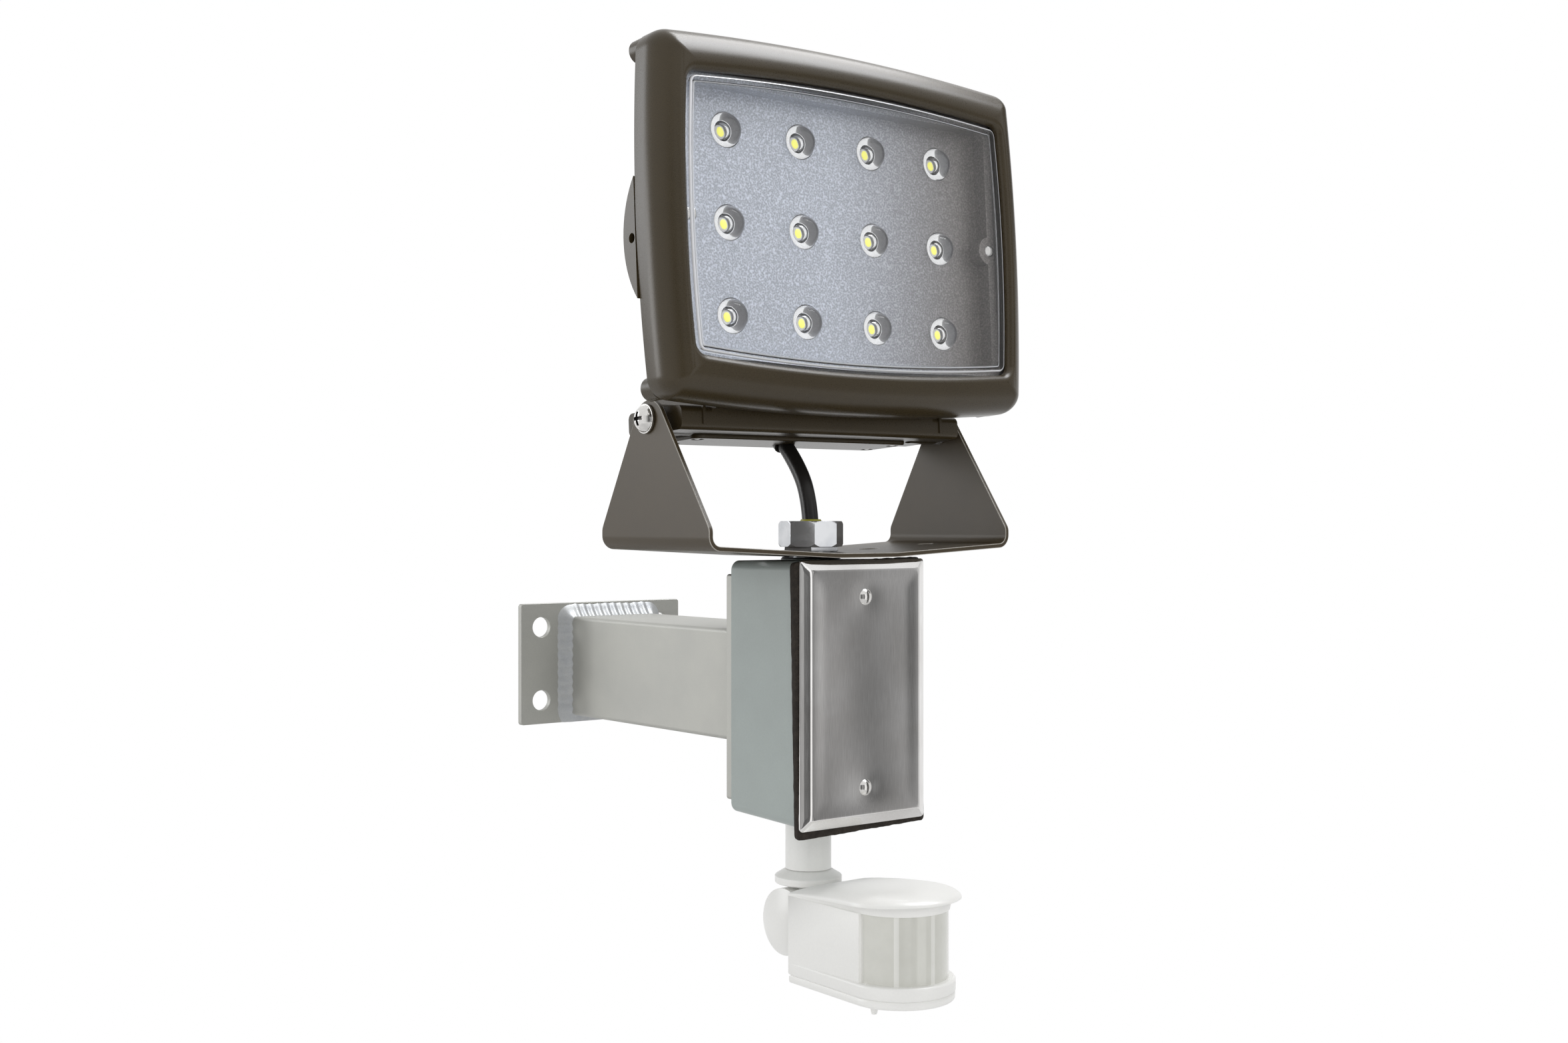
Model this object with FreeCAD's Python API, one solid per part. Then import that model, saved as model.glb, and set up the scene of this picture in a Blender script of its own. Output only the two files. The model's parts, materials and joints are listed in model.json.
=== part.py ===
"""Wall-mounted LED floodlight with a motion sensor.

Lengths are millimetres and angles are degrees. +Z is up, the lamp faces -Y and +X is to the right of
somebody who looks at its front. The origin is the centre of the wall plate's back face. Shapes are drawn
about the arm's centre line, and save() moves them to their place beside the middle of the wall plate.
The lamp head is drawn upright with its pivot axis at the origin, then leaned back into the yoke.
"""
import FreeCAD, Part
import math
import os

Vector = FreeCAD.Vector
X, Y, Z = Vector(1, 0, 0), Vector(0, 1, 0), Vector(0, 0, 1)

# Clearances
running_gap = 0.1
loose_gap = 0.3

# Wall plate and arm
plate_w, plate_h, plate_t = 97.2, 61.6, 3.2
bolt_spacing_x, bolt_spacing_z, bolt_hole_d = 73.4, 37.5, 10.3
plate_corner_r = 1.5
arm_offset, arm_drop = 4.5, 1.6
arm_side, arm_wall, arm_length = 50.8, 3.2, 146.0
arm_corner_r = 2.0
weld_leg, weld_reach, weld_tip = 6.0, 4.0, 0.1
wire_hole_d = 22.2
end_plate_w, end_plate_h, end_plate_t = 63.5, 101.6, 4.8
end_screw_x, end_screw_z, end_screw_d, end_screw_head_r, end_screw_head_h = 40.0, 70.0, 4.8, 4.4, 2.8

# Outlet box, gasket and cover
box_rise = 0.5
box_w, box_h, box_depth, box_wall = 71.8, 114.6, 49.0, 3.2
box_back_w, box_back_h, box_corner_r = box_w - 6.4, box_h - 1.6, 4.5
gasket_w, gasket_h, gasket_t = box_w + 0.8, box_h + 3.8, 3.0
gasket_shift, gasket_drop, gasket_lean = 0.8, 1.4, 1.2
gasket_open_w, gasket_open_h, gasket_open_r, gasket_corner_r = 52.0, 66.0, 4.0, 2.0
cover_w, cover_h, cover_sheet, cover_corner_r = box_w - 0.4, box_h + 1.3, 0.9, 1.5
cover_bevel_w, cover_bevel_rise = 4.6, 2.2
cover_screw_spacing, cover_screw_d, cover_screw_head_d = 83.3, 3.5, 7.2
cover_screw_length, cover_screw_head_h, cover_screw_slot_w, cover_screw_slot_floor = 19.0, 1.5, 1.0, 0.6
screw_lug_w, screw_lug_h, screw_lug_depth = 12.0, 13.0, 20.0
hub_boss_r, hub_boss_h = 13.6, 11.0
splice_cap_r, splice_cap_h, splice_cap_x = 5.0, 17.0, (-23.5, -12.0, 21.0)

# Cord connector on top of the box
hub_to_box_back = 16.5
hub_hole_r, thread_r, connector_bore_r = 10.5, 10.4, 5.6
hub_washer_r, hub_washer_t = 13.2, 1.0
yoke_nut_flats, yoke_nut_t, yoke_nut_turn = 24.1, 2.3, 21.6
nut_flats, nut_h, nut_sides, nut_turn, nut_face_margin, nut_chamfer_h = 27.3, 11.6, 8, 34.9, 0.3, 1.3
seal_r, seal_lip_r, seal_depth, seal_proud, seal_taper = 6.6, 4.9, 4.0, 0.8, 0.4

# Yoke
yoke_w, yoke_depth, yoke_sheet = 172.0, 80.4, 2.0
yoke_land_w, yoke_crease_r, yoke_slope, yoke_bend_r = 26.0, 120.0, 3.1, 6.0
yoke_shoulder, yoke_shoulder_r = 12.6, 5.0
yoke_top_r, yoke_top_setback, yoke_top_drop = 11.0, 3.5, 2.9
pivot_height, pivot_setback, pivot_hole_r = 59.4, 5.0, 3.4
slot_near_x, slot_near_r, slot_far_x, slot_far_r = 35.0, 4.7, 70.5, 3.8

# Lamp head, measured from the plane where the LED lenses stand and from the middle of the LED grid
head_lean = 3.5
led_columns, led_rows, led_pitch_x, led_pitch_z = 4, 3, 40.6, 39.75
bezel_half_w, bezel_half_h, bezel_bow_w, bezel_bow_h, bezel_rise = 104.8, 80.2, 3.5, 4.3, 0.2
led_ahead_of_pivot, led_above_pivot = 29.0, bezel_half_h + 1.0
bezel_front, bezel_back, bezel_corner_r = 16.1, 4.8, 9.5
bezel_front_r, bezel_lip_r, bezel_sharp_r = 14.2, 3.2, 1.5
window_half_w, window_half_h = bezel_half_w - 13.3, bezel_half_h - 17.6
window_bow_w, window_bow_h = 2.6, 4.1
window_corner_r, window_drop, pocket_corner_r = 4.7, 0.4, 6.0
pocket_half_w, pocket_half_h, pocket_front = bezel_half_w - 9.8, bezel_half_h - 14.4, 12.0
lens_rim_t, lens_t, lens_step, lens_margin = 2.2, 2.2, 1.8, 1.6
lens_gasket_w, lens_gasket_t = 6.0, 2.4
tray_half_w, tray_half_h, tray_sheet = pocket_half_w - 9.0, pocket_half_h - 8.3, 1.0
tray_boss_r, tray_boss_hole_r, tray_screw_head_r, tray_screw_head_h = 6.5, 1.6, 2.9, 1.6
tray_spacer_r, tray_screw_bite, tray_hole_depth, tray_corner_r = 4.0, 3.0, 4.2, 5.0
optic_r, optic_rim_r, optic_rise, optic_hole_r = 7.4, 8.6, 6.2, 7.8
optic_well_r, optic_well_top_r, optic_well_h = 2.6, 1.2, 2.2
chip_w, chip_t, board_t = 3.5, 0.9, 1.6
board_half_w, board_half_h, board_corner_r = tray_half_w - 8.0, tray_half_h - 5.5, 3.0

# Rear housing of the lamp head
sink_half_w, sink_half_h, sink_t = bezel_half_w - 5.3, bezel_half_h - 5.2, 6.0
fin_count, fin_pitch, fin_t, fin_depth, fin_arc_drop = 13, 11.5, 2.6, 26.0, 13.0
fin_top, fin_bottom = sink_half_h - 11.0, 23.0 - sink_half_h
ear_arc_r, ear_reach, ear_drop, ear_t, ear_x = 41.0, 13.6, 9.4, 8.0, bezel_half_w + 0.2
ear_hole_r, ear_hole_behind = 2.1, 7.4
lug_x, lug_z, lug_r, lug_length = bezel_half_w - 10.2, bezel_half_h - 9.2, 5.0, 8.0
lug_screw_r, lug_screw_head_r, lug_screw_head_h, lug_screw_depth = 2.0, 4.0, 2.6, 9.0
spacer_length = 3.7
base_half_w = yoke_w / 2 - yoke_sheet - loose_gap - spacer_length
base_front, base_back, base_top, base_bottom = 11.8, 52.0, 3.7 - bezel_half_h, -6.8 - bezel_half_h
bay_half_w, bay_back, bay_top = base_half_w - 16.0, 59.0, 25.0 - sink_half_h
base_wall, base_corner_r = 3.2, 3.0
base_rib_x, base_rib_w, base_rib_rise, base_rib_low, base_rib_high = base_half_w - 11.5, 1.4, 0.6, 2.5, 14.0
driver_side_gap, driver_d, driver_h, driver_floor_gap, driver_corner_r = 1.8, 27.0, 21.0, 3.0, 1.5
wiring_cover_half_w, wiring_cover_front, wiring_cover_back = bay_half_w - 2.0, 27.0, 57.0
wiring_cover_t, wiring_cover_corner_r, wiring_cover_edge_r = 1.8, 5.0, 1.0
wiring_open_half_w, wiring_open_front, wiring_open_back = bay_half_w - 12.0, 31.0, 53.5
wiring_screw_x, wiring_screw_inset, wiring_screw_r = bay_half_w - 7.0, 2.0, 1.5
wiring_head_r, wiring_head_h = 2.8, 1.2
pivot_screw_r, pivot_screw_length, pivot_head_r, pivot_head_h = 3.3, 16.0, 5.9, 3.9
pivot_boss_r, pivot_cross_w = 6.5, 6.0
pivot_washer_r, pivot_washer_t = 6.4, 1.2

# Lamp cord: how far it starts below the nut's top and leaves it, and its bend and end seen from the pivot
cord_r, cord_start_below, cord_straight_above = 3.7, 8.2, 5.3
cord_bend_behind, cord_bend_below, cord_end_behind, cord_end_below = 3.0, 18.2, 20.5, 2.2
bushing_r, bushing_length, bushing_fit, bushing_relief = 5.2, 9.0, 0.01, 1.0

# Motion sensor: stem, knuckle and head, placed from the stem's axis
stem_to_box_back = 14.6
stem_r, stem_length, stem_bore_r = 10.4, 25.6, 6.6
collar_r, collar_t, collar_cone_h, collar_edge = 15.2, 3.5, 2.7, 0.4
knuckle_neck_r, knuckle_spigot_length, knuckle_wire_r = 8.5, 16.0, 3.0
barrel_drop, barrel_r, barrel_half_w = 16.4, 11.2, 8.0
cheek_r, cheek_t, cheek_dome, cheek_web_h = 15.0, 6.0, 3.6, 24.0
tilt_screw_r, tilt_head_r, tilt_head_h = 2.4, 4.6, 3.0
case_half_w, case_gap, case_length, case_wall = 22.8, 14.0, 47.4, 2.2
ring_r, ring_edge_r, cap_r, lens_r, lens_wall = 24.1, 1.2, 26.7, 21.2, 1.2
cap_dome_r, cap_peak_ahead, cap_overhang = 93.0, 43.4, 0.6
detector_r, detector_length, detector_stand_half_w, detector_stand_t = 4.6, 4.2, 12.0, 1.6
detector_behind_lens, detector_stand_above, sensor_board_t = 6.0, 9.0, 1.6
pot_w, pot_h = 9.0, 3.7
base_inset, base_edge_r = 0.2, 1.4
base_screw_x, base_screw_ahead, base_screw_r = 16.0, 8.0, 1.3
dial_x, dial_ahead, dial_r, dial_knob_t, dial_sunk, dial_shaft_r = 8.5, 41.0, 4.2, 1.8, 0.2, 1.6
dial_tab_h, dial_tab_w, dial_tab_margin, dial_tab_end_w = 7.4, 1.8, 0.6, 1.6

# Heights of the sensor's parts from its tilt axis
window_above, ring_above, seam_above, bottom_above = 15.3, -13.7, -19.6, -23.2
cap_rear_above, cap_front_above, cap_peak_above, cap_rim_above = 18.1, 22.1, 26.3, 20.3
detector_above, board_above = 1.3, -14.2

# Stations along the arm, from the wall outwards
plate_front_y = -plate_t
arm_end_y = plate_front_y - arm_length
box_back_y = arm_end_y - end_plate_t
box_front_y = box_back_y - box_depth
cover_y = box_front_y - gasket_t
hub_y = box_back_y - hub_to_box_back
stem_y = box_back_y - stem_to_box_back

# Levels on the hub axis
box_top_z = box_rise + box_h / 2
box_bottom_z = box_rise - box_h / 2
yoke_under_z = box_top_z + hub_washer_t
yoke_over_z = yoke_under_z + yoke_sheet
nut_under_z = yoke_over_z + yoke_nut_t
nut_top_z = nut_under_z + nut_h
pivot_y = hub_y + pivot_setback
pivot_z = yoke_over_z - yoke_sheet + pivot_height

# Points of the lamp cord: distance behind the hub axis, and height
cord_route = [(0.0, nut_top_z - cord_start_below), (0.0, nut_top_z + cord_straight_above),
              (pivot_setback + cord_bend_behind, pivot_z - cord_bend_below),
              (pivot_setback + cord_end_behind, pivot_z - cord_end_below)]

# Levels of the motion sensor
collar_top_z = box_bottom_z - stem_length - loose_gap
collar_under_z = collar_top_z - collar_cone_h - collar_t
barrel_z = collar_under_z - barrel_drop
case_window_top, case_ring_top = barrel_z + window_above, barrel_z + ring_above
case_seam, case_bottom = barrel_z + seam_above, barrel_z + bottom_above
cap_rear_top, cap_front_top = barrel_z + cap_rear_above, barrel_z + cap_front_above
cap_peak, cap_rim_under = barrel_z + cap_peak_above, barrel_z + cap_rim_above
detector_z, board_floor = barrel_z + detector_above, barrel_z + board_above

# Stations of the lamp head while it is drawn upright about its pivot
led_y = -led_ahead_of_pivot
mid_z = led_above_pivot
bezel_sizes = (bezel_half_w, bezel_half_h, bezel_bow_w, bezel_bow_h)
window_sizes = (window_half_w, window_half_h, window_bow_w, window_bow_h)


def block(x0, x1, y0, y1, z0, z1):
    """Box between two corners."""
    return Part.makeBox(x1 - x0, y1 - y0, z1 - z0, Vector(x0, y0, z0))


def rod(base, axis, radius, length):
    """Round bar that starts at base and runs along axis."""
    return Part.makeCylinder(radius, length, base, axis)


def tube(base, axis, outer_r, inner_r, length):
    """Round tube that starts at base and runs along axis."""
    return rod(base, axis, outer_r, length).cut(rod(base, axis, inner_r, length))


def prism(points, direction):
    """Straight-sided solid drawn from a closed list of points."""
    return Part.Face(Part.makePolygon(points + points[:1])).extrude(direction)


def regular_prism(base, flats, sides, height, turn=0.0):
    """Upright nut-shaped prism with the given width across its flats."""
    radius = flats / 2 / math.cos(math.pi / sides)
    corners = [math.radians(turn) + math.pi / sides + 2 * math.pi * i / sides for i in range(sides)]
    ring = [base + Vector(radius * math.cos(a), radius * math.sin(a), 0) for a in corners]
    return prism(ring, Z * height)


def straight_edges(shape, direction):
    """Straight edges of shape that run along direction."""
    found = []
    for edge in shape.Edges:
        if edge.Curve.TypeId != "Part::GeomLine":
            continue
        if abs(edge.tangentAt(edge.FirstParameter).dot(direction)) > 0.999:
            found.append(edge)
    return found


def edges_at_y(shape, y):
    """Edges of shape that lie wholly in the plane Y = y."""
    return [e for e in shape.Edges if abs(e.BoundBox.YMin - y) < 1e-4 and abs(e.BoundBox.YMax - y) < 1e-4]


def edges_at_z(shape, z):
    """Edges of shape that lie wholly in the plane Z = z."""
    return [e for e in shape.Edges if abs(e.BoundBox.ZMin - z) < 1e-4 and abs(e.BoundBox.ZMax - z) < 1e-4]


def rounded_rectangle(width, height, radius, y, centre_z=0.0):
    """Closed wire of a rectangle with round corners, in the plane Y = y."""
    half_w, half_h = width / 2 - radius, height / 2 - radius
    edges = []
    diagonal = radius * math.sqrt(0.5)
    for sx, sz, along in ((1, -1, Z), (1, 1, -X), (-1, 1, -Z), (-1, -1, X)):
        centre = Vector(sx * half_w, y, centre_z + sz * half_h)
        leaving = Vector(sx * radius, 0, 0) if along.z else Vector(0, 0, sz * radius)
        arriving = Vector(0, 0, sz * radius) if along.z else Vector(sx * radius, 0, 0)
        middle = centre + Vector(sx * diagonal, 0, sz * diagonal)
        edges.append(Part.Arc(centre + arriving, middle, centre + leaving).toShape())
    wire_edges = []
    for i, arc in enumerate(edges):
        following = edges[(i + 1) % 4]
        wire_edges.append(arc)
        wire_edges.append(Part.LineSegment(arc.Vertexes[-1].Point, following.Vertexes[0].Point).toShape())
    return Part.Wire(Part.__sortEdges__(wire_edges))


def rounded_plate(width, height, radius, y0, y1, centre_z=0.0):
    """Plate with round corners that stands across the Y axis."""
    return Part.Face(rounded_rectangle(width, height, radius, y0, centre_z)).extrude(Vector(0, y1 - y0, 0))


def bow_radius(half, bow):
    """Radius of an arc that rises by bow over a straight length of twice half."""
    return (half ** 2 + bow ** 2) / (2 * bow)


def bowed_outline(sizes, corner_r, y, centre_z, inset=0.0):
    """Closed wire of four outward arcs and round corners; sizes are (half_w, half_h, bow_w, bow_h)."""
    half_w, half_h, bow_w, bow_h = sizes
    top_r = bow_radius(half_w - bow_w, bow_h) - inset
    side_r = bow_radius(half_h - bow_h, bow_w) - inset
    half_w, half_h = half_w - inset, half_h - inset
    to_top, to_side = top_r - corner_r, side_r - corner_r
    across, down = half_w - side_r, half_h - top_r
    apart = math.hypot(across, down)
    along = (to_top ** 2 - to_side ** 2 + apart ** 2) / (2 * apart)
    off = math.sqrt(to_top ** 2 - along ** 2)
    corner_x = (across * along + down * off) / apart
    corner_z = down - (down * along - across * off) / apart
    if corner_z < 0 or corner_x < 0:
        corner_x = (across * along - down * off) / apart
        corner_z = down - (down * along + across * off) / apart
    top_angle = math.atan2(corner_z - down, corner_x)
    side_angle = math.atan2(corner_z, corner_x - across)
    middle_angle = (top_angle + side_angle) / 2

    def point(x, z):
        return Vector(x, y, centre_z + z)

    def on_corner(sx, sz, angle):
        x = corner_x + corner_r * math.cos(angle)
        z = corner_z + corner_r * math.sin(angle)
        return point(sx * x, sz * z)

    edges = []
    for sx, sz in ((1, 1), (-1, 1), (-1, -1), (1, -1)):
        ends = [on_corner(sx, sz, angle) for angle in (side_angle, middle_angle, top_angle)]
        edges.append(Part.Arc(*(ends if sx == sz else ends[::-1])).toShape())
        if sx == sz:
            edges.append(Part.Arc(ends[2], point(0, sz * half_h), on_corner(-sx, sz, top_angle)).toShape())
        else:
            edges.append(Part.Arc(ends[0], point(sx * half_w, 0), on_corner(sx, -sz, side_angle)).toShape())
    return Part.Wire(edges)


def bowed_slab(sizes, corner_r, y0, y1, centre_z, inset=0.0):
    """Slab across the Y axis whose four sides bow outwards as arcs and meet in round corners."""
    return Part.Face(bowed_outline(sizes, corner_r, y0, centre_z, inset)).extrude(Vector(0, y1 - y0, 0))


def revolve(profile, base, axis):
    """Solid turned from (radius, distance along axis) points about an axis through base."""
    across = X if abs(axis.x) < 0.5 else Y
    points = [base + across * r + axis * h for r, h in profile]
    return Part.Face(Part.makePolygon(points + points[:1])).revolve(base, axis, 360)


def fused(shapes):
    """One clean solid from several that touch or overlap."""
    whole = shapes[0].multiFuse(shapes[1:]) if len(shapes) > 1 else shapes[0]
    return whole.removeSplitter()


def pan_head(seat, outward, head_r, head_h):
    """Low round screw head that sits on seat and bulges outwards."""
    sphere_r = (head_r ** 2 + head_h ** 2) / (2 * head_h)
    dome = Part.makeSphere(sphere_r, seat - outward * (sphere_r - head_h))
    return dome.common(rod(seat, outward, head_r, head_h))


def screw(seat, outward, head_r, head_h, shank_r, shank_length):
    """Pan head screw whose head sits on seat and whose shank runs the other way."""
    return fused([pan_head(seat, outward, head_r, head_h), rod(seat, -outward, shank_r, shank_length)])


def cross_recess(seat, outward, head_h, width):
    """Cutter for the cross in a screw head whose seat is given, about an axis along X."""
    depth = head_h * 0.55
    low = seat + outward * (head_h - depth)
    x0, x1 = sorted((low.x, low.x + outward.x * depth * 2))
    arms = [block(x0, x1, low.y - a / 2, low.y + a / 2, low.z - b / 2, low.z + b / 2)
            for a, b in ((width, width / 4), (width / 4, width))]
    return arms[0].fuse(arms[1])


def save(name, shapes, on_arm=True):
    """Write one node; shapes drawn about the arm's centre line move sideways with it."""
    solids = []
    for shape in shapes if isinstance(shapes, list) else [shapes]:
        solids.extend(shape.Solids)
    whole = solids[0] if len(solids) == 1 else Part.makeCompound(solids)
    if on_arm:
        whole = whole.translated(Vector(arm_offset, 0, -arm_drop))
    whole.exportStep("parts/%s.step" % name)
    print("%-24s %2d solid(s) %10.1f mm3 valid %s" % (name, len(solids), whole.Volume, whole.isValid()))


def save_head(name, shapes):
    """Write one node of the lamp head, leaned back about its pivot."""
    lean = FreeCAD.Placement(Vector(0, pivot_y, pivot_z), FreeCAD.Rotation(X, -head_lean))
    listed = shapes if isinstance(shapes, list) else [shapes]
    save(name, [shape.transformed(lean.toMatrix()) for shape in listed])


def build_wall_arm():
    """Wall plate, square arm, weld bead and the end plate that carries the box."""
    plate = rounded_plate(plate_w, plate_h, plate_corner_r, plate_front_y, 0)
    for sx in (-1, 1):
        for sz in (-1, 1):
            hole = Vector(sx * bolt_spacing_x / 2, -2 * plate_t, sz * bolt_spacing_z / 2)
            plate = plate.cut(rod(hole, Y, bolt_hole_d / 2, 3 * plate_t))
    plate = plate.cut(rod(Vector(arm_offset, -2 * plate_t, -arm_drop), Y, wire_hole_d / 2, 3 * plate_t))
    save("wall_plate", plate, on_arm=False)

    inner = arm_side - 2 * arm_wall
    arm = rounded_plate(arm_side, arm_side, arm_corner_r, arm_end_y, plate_front_y)
    arm = arm.cut(rounded_plate(inner, inner, arm_corner_r / 2, arm_end_y, plate_front_y))
    save("arm_tube", arm)

    def around_arm(leg, y):
        """Outline of the bead at one station, leg wide all round the arm."""
        return rounded_rectangle(arm_side + 2 * leg, arm_side + 2 * leg, arm_corner_r + leg, y)
    toe = around_arm(weld_leg, plate_front_y)
    crown = around_arm(0.6 * weld_leg, plate_front_y - 0.55 * weld_reach)
    tip = around_arm(weld_tip, plate_front_y - weld_reach)
    bead = Part.makeLoft([toe, crown, tip], True, True)
    bead = bead.cut(rounded_plate(arm_side, arm_side, arm_corner_r, arm_end_y, plate_front_y))
    under_plate = plate_h / 2 - arm_drop
    on_plate = block(-arm_side, arm_side, plate_front_y - weld_reach, plate_front_y, -under_plate, arm_side)
    bead = bead.common(on_plate)
    save("weld_bead", bead)

    end_plate = rounded_plate(end_plate_w, end_plate_h, plate_corner_r, box_back_y, arm_end_y)
    end_plate = end_plate.cut(rod(Vector(0, box_back_y - 1, 0), Y, wire_hole_d / 2, end_plate_t + 2))
    for seat in end_screw_places():
        end_plate = end_plate.cut(rod(seat, Y, end_screw_d / 2, box_wall + end_plate_t))
    save("end_plate", end_plate)


def end_screw_places():
    """Where the four screws that hold the box to the end plate seat inside the box."""
    seat_y = box_back_y - box_wall
    return [Vector(sx * end_screw_x / 2, seat_y, sz * end_screw_z / 2) for sx in (-1, 1) for sz in (-1, 1)]


def box_shell(inset, y0, y1):
    """Drafted body of the outlet box, inset from its outside by a wall."""
    def section(y):
        share = (y - box_front_y) / box_depth
        width = box_w + (box_back_w - box_w) * share - 2 * inset
        height = box_h + (box_back_h - box_h) * share - 2 * inset
        return rounded_rectangle(width, height, box_corner_r - inset / 2, y, box_rise)
    return Part.makeLoft([section(y0), section(y1)], True, True)


def build_box():
    """Outlet box with its gasket, cover, cover screws, end plate screws and splice caps."""
    outside = box_shell(0, box_front_y, box_back_y)
    box = outside.cut(box_shell(box_wall, box_front_y, box_back_y - box_wall))
    lug_places = [Vector(0, box_front_y, sz * cover_screw_spacing / 2) for sz in (-1, 1)]
    for place in lug_places:
        wall_z = box_rise + math.copysign(box_h / 2 - box_wall / 2, place.z)
        low, high = sorted((place.z - math.copysign(screw_lug_h / 2, place.z), wall_z))
        lug_back_y = box_front_y + screw_lug_depth
        lug = block(-screw_lug_w / 2, screw_lug_w / 2, box_front_y, lug_back_y, low, high)
        box = box.fuse(lug.common(outside))
    for place in lug_places:
        box = box.cut(rod(place, Y, cover_screw_d / 2, cover_screw_length))
    hubs = ((Vector(0, hub_y, box_top_z), -Z), (Vector(0, stem_y, box_bottom_z), Z))
    for place, inward in hubs:
        box = box.fuse(rod(place, inward, hub_boss_r, hub_boss_h))
        box = box.cut(rod(place, inward, hub_hole_r, hub_boss_h))
    box = box.cut(rod(Vector(0, box_back_y - 2 * box_wall, 0), Y, wire_hole_d / 2, 3 * box_wall))
    for seat in end_screw_places():
        box = box.cut(rod(seat, Y, end_screw_d / 2, box_wall))
    save("outlet_box", box.removeSplitter())

    screws = []
    for seat in end_screw_places():
        bite = box_wall + end_plate_t
        screws.append(screw(seat, -Y, end_screw_head_r, end_screw_head_h, end_screw_d / 2, bite))
    save("end_plate_screws", screws)

    gasket = rounded_plate(gasket_w, gasket_h, gasket_corner_r, cover_y, box_front_y)
    gasket.rotate(Vector(0, 0, 0), Y, -gasket_lean)
    gasket.translate(Vector(-gasket_shift, 0, -gasket_drop))
    gasket = gasket.cut(rounded_plate(gasket_open_w, gasket_open_h, gasket_open_r, cover_y, box_front_y))
    for place in lug_places:
        gasket = gasket.cut(rod(place - Y * gasket_t, Y, cover_screw_d / 2, gasket_t))
    save("box_gasket", gasket)

    face_y = cover_y - cover_bevel_rise - cover_sheet
    def pan(inset, front_y):
        """Bevelled outside of the cover, or with an inset the hollow behind its sheet."""
        rim_w, rim_h = cover_w - 2 * inset, cover_h - 2 * inset
        crest_w, crest_h = cover_w - 2 * cover_bevel_w, cover_h - 2 * cover_bevel_w
        rim = rounded_rectangle(rim_w, rim_h, cover_corner_r, front_y + cover_bevel_rise)
        crest = rounded_rectangle(crest_w, crest_h, cover_corner_r, front_y)
        return Part.makeLoft([rim, crest], True, True)
    edge = rounded_plate(cover_w, cover_h, cover_corner_r, cover_y - cover_sheet, cover_y)
    cover = pan(0, face_y).fuse(edge).cut(pan(cover_sheet, face_y + cover_sheet))
    for place in lug_places:
        cover = cover.cut(rod(Vector(0, face_y - 1, place.z), Y, cover_screw_d / 2 + loose_gap, 5))
    save("box_cover", cover.removeSplitter())

    cover_screws = []
    for place in lug_places:
        seat = Vector(0, face_y, place.z)
        head_r, half_slot = cover_screw_head_d / 2, cover_screw_slot_w / 2
        whole = screw(seat, -Y, head_r, cover_screw_head_h, cover_screw_d / 2, cover_screw_length)
        slot = block(-half_slot, half_slot, face_y - 2 * cover_screw_head_h, face_y - cover_screw_slot_floor,
                     place.z - 2 * head_r, place.z + 2 * head_r)
        cover_screws.append(whole.cut(slot))
    save("cover_screws", cover_screws)

    cap_y = box_front_y + box_depth / 4
    floor_z = box_bottom_z + box_wall + loose_gap + (box_h - box_back_h) / 8
    profile = [(0, 0), (splice_cap_r, 0), (splice_cap_r / 2, splice_cap_h), (0, splice_cap_h)]
    save("splice_caps", [revolve(profile, Vector(x, cap_y, floor_z), Z) for x in splice_cap_x])


def build_connector():
    """Cord connector that clamps the yoke to the top of the box."""
    bottom_z = box_top_z - hub_boss_h - 1
    body_h = nut_top_z - seal_depth - bottom_z
    body = tube(Vector(0, hub_y, bottom_z), Z, thread_r, connector_bore_r, body_h)
    save("connector_body", body)

    washer_place = Vector(0, hub_y, box_top_z)
    save("hub_washer", tube(washer_place, Z, hub_washer_r, thread_r, hub_washer_t - loose_gap))

    yoke_nut_place = Vector(0, hub_y, yoke_over_z + loose_gap)
    yoke_nut = regular_prism(yoke_nut_place, yoke_nut_flats, 6, yoke_nut_t - loose_gap, yoke_nut_turn)
    save("yoke_nut", yoke_nut.cut(rod(yoke_nut_place, Z, thread_r, yoke_nut_t)))

    nut_place = Vector(0, hub_y, nut_under_z)
    nut = regular_prism(nut_place, nut_flats, nut_sides, nut_h, nut_turn)
    corner_r = nut_flats / 2 / math.cos(math.pi / nut_sides)
    face_r = nut_flats / 2 + nut_face_margin
    profile = [(0, 0), (face_r, 0), (corner_r, nut_chamfer_h), (corner_r, nut_h - nut_chamfer_h),
               (face_r, nut_h), (0, nut_h)]
    nut = nut.common(revolve(profile, nut_place, Z))
    nut = nut.cut(rod(nut_place, Z, thread_r, nut_h - seal_depth))
    nut = nut.cut(rod(nut_place, Z, seal_r, nut_h + 1))
    save("compression_nut", nut)

    bore = cord_r + loose_gap
    profile = [(bore, -seal_depth), (seal_r, -seal_depth), (seal_r, 0), (seal_lip_r, 0),
               (seal_lip_r - seal_taper, seal_proud), (bore, seal_proud)]
    save("gland_seal", revolve(profile, Vector(0, hub_y, nut_top_z), Z))


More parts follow.
